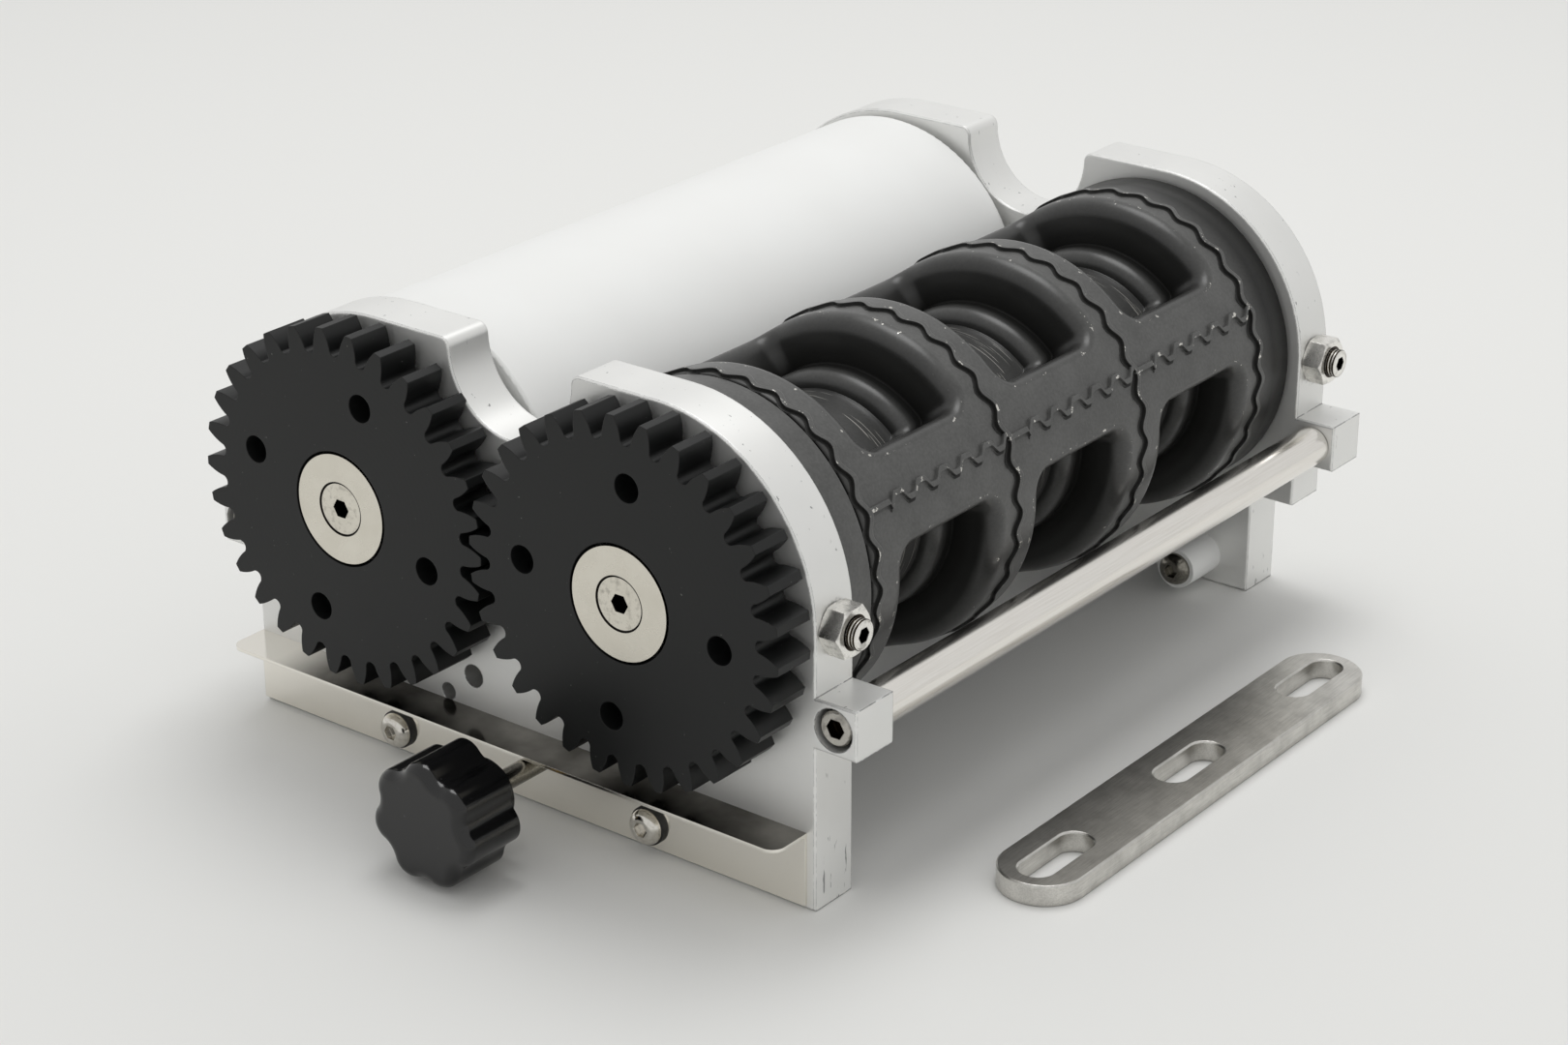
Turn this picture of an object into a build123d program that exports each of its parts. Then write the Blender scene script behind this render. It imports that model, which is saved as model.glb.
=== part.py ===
from build123d import *
from math import acos, cos, degrees, radians, sin, sqrt, tan
import os

# Ravioli forming roller unit: two end plates carry a smooth anvil roller and a pocketed die roller,
# which are geared together in front of the front plate. A slotted fixing strap lies beside it.
# X runs across the rollers, Y along them away from the gears, Z up, in millimetres.
# The origin is on the underside of the front plate's foot, midway between the two rollers.

os.makedirs("parts", exist_ok=True)

# Fits
slip = 0.02  # between pieces that are fixed to each other
running = 0.05  # between a shaft and its bush
thread_gap = 0.05  # between a screw and its tapped hole
pass_gap = 0.4  # between a screw and a hole that it only passes through
end_float = 0.15  # between a roller's end and its bush flange

# End plates
plate_thickness = 16.0
plate_gap = 224.0  # between the inner faces
roller_spacing = 100.0  # between the two roller axes
axle_height = 79.5
lobe_radius = 51.5
notch_radius = 21.5
notch_lip = 2.5  # from the plate's top down to the notch's centre
notch_corner = 3.0
plate_chamfer = 0.5
rear_foot_half = 87.2
rear_foot_height = 33.0

# Lugs and tie rods
lug_reach = 13.0
lug_height = 14.5
rod_drop = 24.7  # below the roller axes
rod_outset = 5.7  # outside the plate's straight edge
rod_radius = 6.0
rod_tap_depth = 20.0
rod_chamfer = 0.6

# Socket-head screws in the lugs
m6_radius = 3.0
cap_head_radius = 5.0
cap_head_height = 6.0
cap_seat_radius = 6.0
cap_seat_depth = 6.8
cap_shank = 24.0
cap_socket = 5.0  # across flats

# Shafts and bushes
shaft_radius = 12.5
journal_radius = 10.0
gear_seat_radius = 8.5
bush_wall = 6.0
bush_flange_radius = 20.0
bush_flange = 2.0
shaft_end_setback = 0.5  # from the rear plate's outer face
shaft_tap_depth = 24.0

# Gears
gear_teeth = 30
gear_module = 3.25
pressure_angle = 20.0
gear_width = 13.15
gear_standoff = 2.5  # between the front plate and the gears
mesh_angle = 1.6  # the meshing tooth stands this far below the line of centres
gear_hole_radius = 4.0
gear_hole_circle = 33.3
gear_hole_count = 4
anvil_hole_angle = 73.0
die_hole_angle = 84.0

# Gear washers and their countersunk screws
washer_radius = 15.85
washer_seat_radius = 16.7
washer_thickness = 5.0
washer_grip = 0.3  # the washer clears the shaft's end by this much
m8_radius = 4.0
sink_head_radius = 7.9
sink_rim = 0.3
sink_length = 24.0
sink_socket = 5.0  # across flats
sink_socket_depth = 3.2

# Keys
gear_key_width = 5.0
gear_key_height = 5.0
gear_key_bite = 3.0  # depth in the shaft
roller_key_width = 8.0
roller_key_height = 7.0
roller_key_bite = 4.0
roller_key_length = 90.0
roller_key_inset = 4.0  # from the roller's front end

# Rollers
anvil_radius = 50.0
anvil_round = 1.0
die_radius = 48.7
die_turn = 25.5  # angle of the first seam, up from +X
lane_count = 3
lane_pitch = 63.0
lane_shift = -2.0  # the lanes' middle stands in front of the plates' middle
pocket_rows = 3  # pockets around the roller
pocket_length = 50.0  # along the roller
bar_width = 22.0  # land between two pockets around the roller
ledge_radius = 34.8
floor_radius = 31.0
floor_length = 26.0
pocket_corner = 7.0
rim_round = 1.0
ridge_height = 0.9
ridge_width = 1.8
ridge_root = 0.5  # the ridges start this far inside the land
end_ring_length = 9.1
end_ring_gap = 0.8

# Roller gap adjusters
nut_flats = 13.0
nut_thickness = 6.5
nut_chamfer_angle = 30.0
adjuster_stickout = 2.8  # beyond the nut
adjuster_socket = 4.0  # across flats
adjuster_socket_depth = 4.0

# Gear guard
guard_length = 200.0
guard_height = 22.5
guard_reach = 13.3
guard_sheet = 1.0
guard_bend = 1.0
guard_lift = 1.2  # above the table
guard_shift = -1.2  # the guard's middle, across the rollers
guard_corner = 4.0
guard_screw_spacing = 92.6
guard_screw_height = 7.8
spacer_radius = 5.6
spacer_thickness = 1.2
button_radius = 5.2
button_height = 2.9
button_socket = 4.0  # across flats
button_socket_depth = 2.0
button_shank = 20.0

# Clamp knob
knob_x = 12.0
knob_height = 18.2
knob_radius = 18.0
knob_lobes = 7
knob_lobe_turn = 92.0  # the first lobe, turned up from the X axis
knob_lobe_radius = 6.0
knob_hollow = 6.0  # round between two lobes
knob_depth = 20.0
knob_round = 3.2
knob_face_reach = 54.0  # from the front plate to the knob's face
hub_radius = 9.5
hub_length = 7.0
insert_radius = 6.0
insert_length = 18.0
stud_embed = 16.0
stud_tip = 6.0  # beyond the front plate's inner face

# Guide pegs on the rear plate
peg_x = 71.0
peg_height = 9.2
peg_radius = 6.5
peg_length = 16.0
peg_shank = 28.0

# Tapped holes in the front plate, for accessories
wide_tap_x = -17.5
wide_tap_drop = 47.0  # below the roller axes
wide_tap_radius = 3.35
narrow_tap_x = -27.3
narrow_tap_drop = 54.6
narrow_tap_radius = 2.5

# Loose fixing strap
strap_x = 139.7
strap_y = 113.5
strap_width = 25.0
strap_thickness = 6.0
strap_chamfer = 0.5
strap_slot_length = 28.0
strap_slot_width = 10.0
strap_slot_spacing = 66.5
strap_slots = 3
strap_end = 4.5  # metal between an end slot and the strap's end

# Places worked out from the sizes above
front_inner = plate_thickness / 2
front_outer = -plate_thickness / 2
rear_inner = front_inner + plate_gap
rear_outer = rear_inner + plate_thickness
rear_middle = rear_inner + plate_thickness / 2
plate_top = axle_height + lobe_radius
plate_half = roller_spacing / 2 + lobe_radius
anvil_x = -roller_spacing / 2
die_x = roller_spacing / 2
rod_x = plate_half + rod_outset
rod_z = axle_height - rod_drop
bush_radius = journal_radius + bush_wall
roller_front = front_inner + bush_flange + end_float
roller_rear = rear_inner - bush_flange - end_float
gear_back = front_outer - gear_standoff
gear_front = gear_back - gear_width
washer_back = gear_front + washer_thickness
shaft_front = washer_back + washer_grip
shaft_rear = rear_outer - shaft_end_setback
guard_front = front_outer - guard_sheet
knob_face = front_outer - knob_face_reach
knob_back = knob_face + knob_depth
hub_back = knob_back + hub_length
m8_tap_radius = m8_radius + thread_gap
m6_tap_radius = m6_radius + thread_gap


def seen_from_front(x, y, z):
    return Location((x, y, z), (90, 0, 0))


def seen_from_rear(x, y, z):
    return Location((x, y, z), (-90, 0, 0))


def front_plane(y, x=0.0, z=0.0):
    return Plane(origin=(x, y, z), x_dir=(1, 0, 0), z_dir=(0, -1, 0))


def turning_plane(x, z=axle_height, angle=0.0):
    turn = radians(angle)
    outward = (cos(turn), 0, sin(turn))
    return Plane(origin=(x, 0, z), x_dir=outward, z_dir=(-sin(turn), 0, cos(turn)))


def turning_axis(x, z=axle_height):
    return Axis((x, 0, z), (0, -1, 0))


def hexagon_across(flats):
    return flats / sqrt(3)


def save(piece, label):
    piece.part.label = label
    export_step(piece.part, f"parts/{label}.step")


# End plates: lobes around the roller axes, a feed notch between them and a lug at each side
def end_plate(inner_face, outer_side, foot_half, foot_height):
    middle = inner_face + outer_side * plate_thickness / 2
    outer_face = inner_face + outer_side * plate_thickness
    looking = seen_from_front if outer_side < 0 else seen_from_rear
    notch_centre = plate_top - notch_lip
    with BuildPart() as plate:
        with BuildSketch(front_plane(middle)):
            with Locations((0, axle_height / 2)):
                Rectangle(2 * plate_half, axle_height)
            with Locations((anvil_x, axle_height), (die_x, axle_height)):
                Circle(lobe_radius)
            with Locations((0, axle_height + lobe_radius / 2)):
                Rectangle(roller_spacing, lobe_radius)
            with Locations((0, rod_z)):
                Rectangle(2 * (plate_half + lug_reach), lug_height)
            with Locations((0, notch_centre)):
                Circle(notch_radius, mode=Mode.SUBTRACT)
                with Locations((0, lobe_radius / 2)):
                    Rectangle(2 * notch_radius, lobe_radius, mode=Mode.SUBTRACT)
            step = plate_half - foot_half
            if step > 0:
                with Locations((foot_half + step / 2, foot_height / 2), (-foot_half - step / 2, foot_height / 2)):
                    Rectangle(step, foot_height, mode=Mode.SUBTRACT)
        extrude(amount=plate_thickness / 2, both=True)
        lips = plate.edges().filter_by(Axis.Y).group_by(Axis.Z)[-1]
        fillet(lips, notch_corner)
        outline = plate.faces().filter_by(Axis.Y)
        chamfer(outline.edges(), plate_chamfer)
        with Locations(looking(anvil_x, outer_face, axle_height), looking(die_x, outer_face, axle_height)):
            Hole(bush_radius + slip, plate_thickness)
        with Locations(looking(-rod_x, outer_face, rod_z), looking(rod_x, outer_face, rod_z)):
            CounterBoreHole(m6_radius + pass_gap, cap_seat_radius, cap_seat_depth, plate_thickness)
        adjuster_reach = lobe_radius
        with Locations(Location((plate_half, middle, axle_height), (0, 90, 0))):
            Hole(m8_tap_radius, adjuster_reach)
        with Locations(Location((-plate_half, middle, axle_height), (0, -90, 0))):
            Hole(m8_tap_radius, adjuster_reach)
    return plate


def add_front_holes(plate):
    with BuildPart() as drilled:
        add(plate.part)
        with Locations(
            seen_from_front(-guard_screw_spacing / 2, front_outer, guard_screw_height),
            seen_from_front(guard_screw_spacing / 2, front_outer, guard_screw_height),
        ):
            Hole(m6_tap_radius, plate_thickness)
        with Locations(seen_from_front(knob_x, front_outer, knob_height)):
            Hole(m6_tap_radius, plate_thickness)
        with Locations(seen_from_front(wide_tap_x, front_outer, axle_height - wide_tap_drop)):
            Hole(wide_tap_radius, plate_thickness)
        with Locations(seen_from_front(narrow_tap_x, front_outer, axle_height - narrow_tap_drop)):
            Hole(narrow_tap_radius, plate_thickness)
    return drilled


def add_rear_holes(plate):
    with BuildPart() as drilled:
        add(plate.part)
        with Locations(
            seen_from_front(-peg_x, rear_inner, peg_height),
            seen_from_front(peg_x, rear_inner, peg_height),
        ):
            Hole(m6_tap_radius, plate_thickness)
    return drilled


save(add_front_holes(end_plate(front_inner, -1, plate_half, 0)), "front_end_plate")
save(add_rear_holes(end_plate(rear_inner, 1, rear_foot_half, rear_foot_height)), "rear_end_plate")


# Tie rods: bars tapped at both ends, clamped between the lugs
def tie_rod(x):
    with BuildPart() as rod:
        with BuildSketch(front_plane(rear_inner, x, rod_z)):
            Circle(rod_radius)
        extrude(amount=plate_gap)
        chamfer(rod.edges().filter_by(GeomType.CIRCLE), rod_chamfer)
        with Locations(seen_from_front(x, front_inner, rod_z), seen_from_rear(x, rear_inner, rod_z)):
            Hole(m6_tap_radius, rod_tap_depth)
    return rod


save(tie_rod(-rod_x), "left_tie_rod")
save(tie_rod(rod_x), "right_tie_rod")


# Socket-head screws: one in each lug, sunk in its seat
def cap_screw(x, seat, side):
    with BuildPart() as screw:
        with BuildSketch(front_plane(seat, x, rod_z)):
            Circle(cap_head_radius)
        extrude(amount=-side * cap_head_height)
        rim = screw.edges().filter_by(GeomType.CIRCLE).sort_by(Axis.Y)[0 if side < 0 else -1]
        chamfer(rim, rod_chamfer)
        with BuildSketch(front_plane(seat, x, rod_z)):
            Circle(m6_radius)
        extrude(amount=side * cap_shank)
        with BuildSketch(front_plane(seat + side * cap_head_height, x, rod_z)):
            RegularPolygon(hexagon_across(cap_socket), 6)
        extrude(amount=side * cap_head_height / 2, mode=Mode.SUBTRACT)
    return screw.part


with BuildPart() as tie_rod_screws:
    for lug_x in (-rod_x, rod_x):
        add(cap_screw(lug_x, front_outer + cap_seat_depth, -1))
        add(cap_screw(lug_x, rear_outer - cap_seat_depth, 1))
save(tie_rod_screws, "tie_rod_screws")


# Bearing bushes: flanged on the inside, where the rollers' ends run against them
def bush(x, inner_face, outer_side):
    outer_face = inner_face + outer_side * plate_thickness
    flange_face = inner_face - outer_side * bush_flange
    with BuildPart() as sleeve:
        with BuildSketch(turning_plane(x)):
            with BuildLine():
                Polyline(
                    (journal_radius + running, outer_face),
                    (bush_radius, outer_face),
                    (bush_radius, inner_face),
                    (bush_flange_radius, inner_face),
                    (bush_flange_radius, flange_face),
                    (journal_radius + running, flange_face),
                    close=True,
                )
            make_face()
        revolve(axis=turning_axis(x))
    return sleeve


save(bush(anvil_x, front_inner, -1), "anvil_front_bush")
save(bush(anvil_x, rear_inner, 1), "anvil_rear_bush")
save(bush(die_x, front_inner, -1), "die_front_bush")
save(bush(die_x, rear_inner, 1), "die_rear_bush")


# Roller shafts: thick inside the roller, journals in the bushes and a stepped seat for the gear
def shaft(x):
    with BuildPart() as spindle:
        with BuildSketch(turning_plane(x)):
            with BuildLine():
                Polyline(
                    (0, shaft_front),
                    (gear_seat_radius, shaft_front),
                    (gear_seat_radius, gear_back),
                    (journal_radius, gear_back),
                    (journal_radius, roller_front),
                    (shaft_radius, roller_front),
                    (shaft_radius, roller_rear),
                    (journal_radius, roller_rear),
                    (journal_radius, shaft_rear),
                    (0, shaft_rear),
                    close=True,
                )
            make_face()
        revolve(axis=turning_axis(x))
        with Locations(seen_from_front(x, shaft_front, axle_height)):
            Hole(m8_tap_radius, shaft_tap_depth)
        with BuildSketch(front_plane(gear_back, x, axle_height)):
            with Locations((0, gear_seat_radius - gear_key_bite / 2 + slip)):
                Rectangle(gear_key_width + 2 * slip, gear_key_bite + 2 * slip)
        extrude(amount=gear_back - shaft_front, mode=Mode.SUBTRACT)
        with BuildSketch(front_plane(roller_front + roller_key_inset + roller_key_length, x, axle_height)):
            with Locations((0, shaft_radius - roller_key_bite / 2 + slip)):
                Rectangle(roller_key_width + 2 * slip, roller_key_bite + 2 * slip)
        extrude(amount=roller_key_length + slip, mode=Mode.SUBTRACT)
    return spindle


save(shaft(anvil_x), "anvil_shaft")
save(shaft(die_x), "die_shaft")


# Keys: the gear's key runs from the shaft's shoulder to its end, the roller's key lies under the roller
def gear_key(x):
    base = axle_height + gear_seat_radius - gear_key_bite + 2 * slip
    with BuildPart() as key:
        with BuildSketch(front_plane(gear_back, x, base)):
            with Locations((0, gear_key_height / 2)):
                Rectangle(gear_key_width, gear_key_height)
        extrude(amount=gear_back - shaft_front)
    return key


def roller_key(x):
    base = axle_height + shaft_radius - roller_key_bite + 2 * slip
    with BuildPart() as key:
        with BuildSketch(front_plane(roller_front + roller_key_inset + roller_key_length, x, base)):
            with Locations((0, roller_key_height / 2)):
                Rectangle(roller_key_width, roller_key_height)
        extrude(amount=roller_key_length)
    return key


save(gear_key(anvil_x), "anvil_gear_key")
save(gear_key(die_x), "die_gear_key")
save(roller_key(anvil_x), "anvil_roller_key")
save(roller_key(die_x), "die_roller_key")


# Keyway through a roller or ring, open towards the shaft
def roller_keyway(x, rear, length):
    key_top = shaft_radius + roller_key_height - roller_key_bite + 4 * slip
    with BuildSketch(front_plane(rear, x, axle_height)) as groove:
        with Locations((0, key_top / 2)):
            Rectangle(roller_key_width + 2 * slip, key_top)
    extrude(groove.sketch, amount=length, mode=Mode.SUBTRACT)


# Gears: involute teeth drawn as arcs through the base, pitch and tip circles
pitch_radius = gear_module * gear_teeth / 2
tip_radius = pitch_radius + gear_module
root_radius = pitch_radius - 1.25 * gear_module
base_radius = pitch_radius * cos(radians(pressure_angle))
tooth_pitch = 360 / gear_teeth


def tooth_half_angle(radius):
    lean = acos(min(1.0, base_radius / radius))
    start = radians(pressure_angle)
    return tooth_pitch / 4 + degrees(tan(start) - start - tan(lean) + lean)


def gear_point(radius, angle):
    return (radius * cos(radians(angle)), radius * sin(radians(angle)))


def gear(x, first_tooth, hole_angle):
    base_half = tooth_half_angle(base_radius)
    pitch_half = tooth_half_angle(pitch_radius)
    tip_half = tooth_half_angle(tip_radius)
    with BuildPart() as wheel:
        with BuildSketch(front_plane(gear_back, x, axle_height)):
            with BuildLine():
                for tooth in range(gear_teeth):
                    middle = first_tooth + tooth * tooth_pitch
                    ThreePointArc(
                        gear_point(base_radius, middle - base_half),
                        gear_point(pitch_radius, middle - pitch_half),
                        gear_point(tip_radius, middle - tip_half),
                    )
                    ThreePointArc(
                        gear_point(tip_radius, middle - tip_half),
                        gear_point(tip_radius, middle),
                        gear_point(tip_radius, middle + tip_half),
                    )
                    ThreePointArc(
                        gear_point(tip_radius, middle + tip_half),
                        gear_point(pitch_radius, middle + pitch_half),
                        gear_point(base_radius, middle + base_half),
                    )
                    ThreePointArc(
                        gear_point(base_radius, middle + base_half),
                        gear_point(root_radius, middle + tooth_pitch / 2),
                        gear_point(base_radius, middle + tooth_pitch - base_half),
                    )
            make_face()
            Circle(gear_seat_radius + slip, mode=Mode.SUBTRACT)
            key_top = gear_seat_radius + gear_key_height - gear_key_bite + 4 * slip
            with Locations((0, key_top / 2)):
                Rectangle(gear_key_width + 2 * slip, key_top, mode=Mode.SUBTRACT)
            with PolarLocations(gear_hole_circle, gear_hole_count, start_angle=hole_angle):
                Circle(gear_hole_radius, mode=Mode.SUBTRACT)
        extrude(amount=gear_width)
        with BuildSketch(front_plane(gear_front, x, axle_height)):
            Circle(washer_seat_radius)
        extrude(amount=-washer_thickness, mode=Mode.SUBTRACT)
    return wheel


save(gear(anvil_x, -mesh_angle, anvil_hole_angle), "anvil_gear")
save(gear(die_x, mesh_angle + tooth_pitch / 2, die_hole_angle), "die_gear")


# Gear washers: thick discs let into the gears, countersunk for a screw
def gear_washer(x):
    with BuildPart() as washer:
        with BuildSketch(front_plane(washer_back, x, axle_height)):
            Circle(washer_radius)
        extrude(amount=washer_thickness)
        with Locations(seen_from_front(x, gear_front, axle_height)):
            CounterSinkHole(m8_radius + pass_gap, sink_head_radius + slip, washer_thickness, 90)
    return washer


# Countersunk screws: flush with the washers
def sink_screw(x):
    cone_end = gear_front + sink_head_radius - m8_radius
    with BuildPart() as screw:
        with BuildSketch(turning_plane(x)):
            with BuildLine():
                Polyline(
                    (0, gear_front + sink_rim),
                    (sink_head_radius - sink_rim, gear_front + sink_rim),
                    (m8_radius, cone_end),
                    (m8_radius, gear_front + sink_length),
                    (0, gear_front + sink_length),
                    close=True,
                )
            make_face()
        revolve(axis=turning_axis(x))
        with BuildSketch(front_plane(gear_front + sink_rim + sink_socket_depth, x, axle_height)):
            RegularPolygon(hexagon_across(sink_socket), 6)
        extrude(amount=sink_socket_depth, mode=Mode.SUBTRACT)
    return screw


save(gear_washer(anvil_x), "anvil_gear_washer")
save(gear_washer(die_x), "die_gear_washer")
save(sink_screw(anvil_x), "anvil_gear_screw")
save(sink_screw(die_x), "die_gear_screw")

# Anvil roller: a smooth plastic cylinder
with BuildPart() as anvil_roller:
    with BuildSketch(front_plane(roller_rear, anvil_x, axle_height)):
        Circle(anvil_radius)
        Circle(shaft_radius + slip, mode=Mode.SUBTRACT)
    extrude(amount=roller_rear - roller_front)
    rims = anvil_roller.edges().filter_by(GeomType.CIRCLE).filter_by(lambda e: e.radius > bush_radius)
    fillet(rims, anvil_round)
    roller_keyway(anvil_x, roller_front + roller_key_inset + roller_key_length + slip, roller_key_length
                  + roller_key_inset + slip)
save(anvil_roller, "anvil_roller")

# Die roller: a drum with rows of pockets, cutting ridges around it and along the bars between pockets
lane_middle = (front_inner + rear_inner) / 2 + lane_shift
drum_front = roller_front + end_ring_length + end_ring_gap
row_pitch = 360 / pocket_rows
bar_angle = degrees(bar_width / die_radius)
pocket_angle = row_pitch - bar_angle
lane_middles = [lane_middle + lane_pitch * (lane - (lane_count - 1) / 2) for lane in range(lane_count)]
ring_places = [lane_middle + lane_pitch * (ring - lane_count / 2) for ring in range(lane_count + 1)]


def pocket_cutter(middle, start, inner_radius, length, corner):
    with BuildPart() as cutter:
        with BuildSketch(turning_plane(die_x, angle=start)):
            with Locations(((inner_radius + anvil_radius) / 2, middle)):
                Rectangle(anvil_radius - inner_radius, length)
        revolve(axis=turning_axis(die_x), revolution_arc=pocket_angle)
        fillet(cutter.edges().filter_by(GeomType.LINE).filter_by(Axis.Y, reverse=True), corner)
    return cutter.part


with BuildPart() as die_roller:
    with BuildSketch(turning_plane(die_x)):
        with BuildLine():
            Polyline(
                (shaft_radius + slip, drum_front),
                (die_radius, drum_front),
                (die_radius, roller_rear),
                (shaft_radius + slip, roller_rear),
                close=True,
            )
        make_face()
    revolve(axis=turning_axis(die_x))
    for row in range(pocket_rows):
        pocket_start = die_turn + bar_angle / 2 + row * row_pitch
        for lane in lane_middles:
            add(pocket_cutter(lane, pocket_start, ledge_radius, pocket_length, pocket_corner), mode=Mode.SUBTRACT)
    land = die_roller.faces().filter_by(GeomType.CYLINDER).sort_by(SortBy.AREA)[-1]
    fillet(land.inner_wires().edges(), rim_round)
    for row in range(pocket_rows):
        pocket_start = die_turn + bar_angle / 2 + row * row_pitch
        for lane in lane_middles:
            add(pocket_cutter(lane, pocket_start, floor_radius, floor_length, pocket_corner), mode=Mode.SUBTRACT)
    ridge_foot = die_radius - ridge_root
    for place in ring_places:
        with BuildSketch(turning_plane(die_x)):
            with Locations((ridge_foot + (ridge_root + ridge_height) / 2, place)):
                Rectangle(ridge_root + ridge_height, ridge_width)
        revolve(axis=turning_axis(die_x))
    for row in range(pocket_rows):
        with BuildSketch(turning_plane(die_x, angle=die_turn + row * row_pitch).offset(-ridge_width / 2)):
            with Locations((ridge_foot + (ridge_root + ridge_height) / 2, lane_middle)):
                Rectangle(ridge_root + ridge_height, lane_pitch * lane_count)
        extrude(amount=ridge_width)
    roller_keyway(die_x, roller_front + roller_key_inset + roller_key_length + slip, roller_key_length
                  + roller_key_inset + slip)
save(die_roller, "die_roller")

# Die end ring: closes the drum's front end and leaves a fine dark joint
with BuildPart() as die_end_ring:
    with BuildSketch(turning_plane(die_x)):
        with BuildLine():
            Polyline(
                (shaft_radius + slip, roller_front),
                (die_radius, roller_front),
                (die_radius, drum_front - end_ring_gap),
                (bush_flange_radius, drum_front - end_ring_gap),
                (bush_flange_radius, drum_front),
                (shaft_radius + slip, drum_front),
                close=True,
            )
        make_face()
    revolve(axis=turning_axis(die_x))
    roller_keyway(die_x, drum_front + slip, end_ring_length + end_ring_gap + 2 * slip)
save(die_end_ring, "die_end_ring")


# Adjusters: set screws in the plates' edges that push the bushes together, each held by a lock nut
def hex_prism_plane(x, y, side):
    return Plane(origin=(x, y, axle_height), x_dir=(0, 1, 0), z_dir=(side, 0, 0))


adjuster_length = plate_half + nut_thickness + adjuster_stickout - roller_spacing / 2 - bush_radius - slip


def adjuster_screw(side, y):
    tip = side * (roller_spacing / 2 + bush_radius + slip)
    head = tip + side * adjuster_length
    with BuildPart() as screw:
        with BuildSketch(hex_prism_plane(tip, y, side)):
            Circle(m8_radius)
        extrude(amount=adjuster_length)
        chamfer(screw.edges().filter_by(GeomType.CIRCLE), rod_chamfer)
        with BuildSketch(hex_prism_plane(head, y, side)):
            RegularPolygon(hexagon_across(adjuster_socket), 6)
        extrude(amount=-adjuster_socket_depth, mode=Mode.SUBTRACT)
    return screw.part


def lock_nut(side, y):
    corner = hexagon_across(nut_flats)
    fall = (corner - nut_flats / 2) * tan(radians(nut_chamfer_angle))
    with BuildPart() as nut:
        with BuildSketch(hex_prism_plane(side * plate_half, y, side)):
            RegularPolygon(corner, 6)
        extrude(amount=nut_thickness)
        with BuildSketch(Plane(origin=(side * plate_half, y, axle_height), x_dir=(0, 1, 0), z_dir=(0, 0, side))):
            with BuildLine():
                Polyline(
                    (0, 0),
                    (nut_flats / 2, 0),
                    (corner, -fall),
                    (corner, fall - nut_thickness),
                    (nut_flats / 2, -nut_thickness),
                    (0, -nut_thickness),
                    close=True,
                )
            make_face()
        revolve(axis=Axis((side * plate_half, y, axle_height), (1, 0, 0)), mode=Mode.INTERSECT)
        with Locations(Location((side * (plate_half + nut_thickness), y, axle_height), (0, side * 90, 0))):
            Hole(m8_tap_radius, nut_thickness)
    return nut.part


with BuildPart() as adjuster_screws:
    for plate_y in (0, rear_middle):
        add(adjuster_screw(-1, plate_y))
        add(adjuster_screw(1, plate_y))
save(adjuster_screws, "adjuster_screws")

with BuildPart() as adjuster_nuts:
    for plate_y in (0, rear_middle):
        add(lock_nut(-1, plate_y))
        add(lock_nut(1, plate_y))
save(adjuster_nuts, "adjuster_nuts")

# Gear guard: a folded sheet angle under the gears
with BuildPart() as gear_guard:
    with BuildSketch(Plane.YZ.offset(guard_shift - guard_length / 2)):
        with BuildLine():
            Polyline(
                (front_outer, guard_lift),
                (front_outer, guard_height),
                (front_outer - guard_reach, guard_height),
                (front_outer - guard_reach, guard_height - guard_sheet),
                (guard_front, guard_height - guard_sheet),
                (guard_front, guard_lift),
                close=True,
            )
        make_face()
    extrude(amount=guard_length)
    bend = gear_guard.edges().filter_by(Axis.X).sort_by_distance((0, guard_front, guard_height - guard_sheet))[0]
    fillet(bend, guard_bend)
    corners = gear_guard.edges().filter_by(Axis.Z).group_by(Axis.Y)[0]
    fillet(corners, guard_corner)
    with Locations(
        seen_from_front(-guard_screw_spacing / 2, guard_front, guard_screw_height),
        seen_from_front(guard_screw_spacing / 2, guard_front, guard_screw_height),
    ):
        Hole(m6_radius + pass_gap, guard_sheet)
    with Locations(seen_from_front(knob_x, guard_front - guard_bend, knob_height)):
        Hole(m6_radius + pass_gap, guard_sheet + guard_bend)
save(gear_guard, "gear_guard")


# Button-head screws, for the guard and the guide pegs
def button_screw(x, z, seat, side, shank):
    face = seat + side * button_height
    with BuildPart() as screw:
        with BuildSketch(turning_plane(x, z)):
            with BuildLine():
                Polyline((0, face), (0, seat - side * shank), (m6_radius, seat - side * shank), (m6_radius, seat))
                Line((m6_radius, seat), (button_radius, seat))
                ThreePointArc(
                    (button_radius, seat),
                    (button_radius * cos(radians(35)), seat + side * button_height * sin(radians(50))),
                    (button_socket * 0.75, face),
                )
                Line((button_socket * 0.75, face), (0, face))
            make_face()
        revolve(axis=turning_axis(x, z))
        with BuildSketch(front_plane(face, x, z)):
            RegularPolygon(hexagon_across(button_socket), 6)
        extrude(amount=side * button_socket_depth, mode=Mode.SUBTRACT)
    return screw.part


with BuildPart() as guard_spacers:
    for screw_x in (-guard_screw_spacing / 2, guard_screw_spacing / 2):
        with BuildSketch(front_plane(guard_front, screw_x, guard_screw_height)):
            Circle(spacer_radius)
            Circle(m6_radius + pass_gap, mode=Mode.SUBTRACT)
        extrude(amount=spacer_thickness)
save(guard_spacers, "guard_spacers")

with BuildPart() as guard_screws:
    for screw_x in (-guard_screw_spacing / 2, guard_screw_spacing / 2):
        add(button_screw(screw_x, guard_screw_height, guard_front - spacer_thickness, -1, button_shank))
save(guard_screws, "guard_screws")

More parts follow.
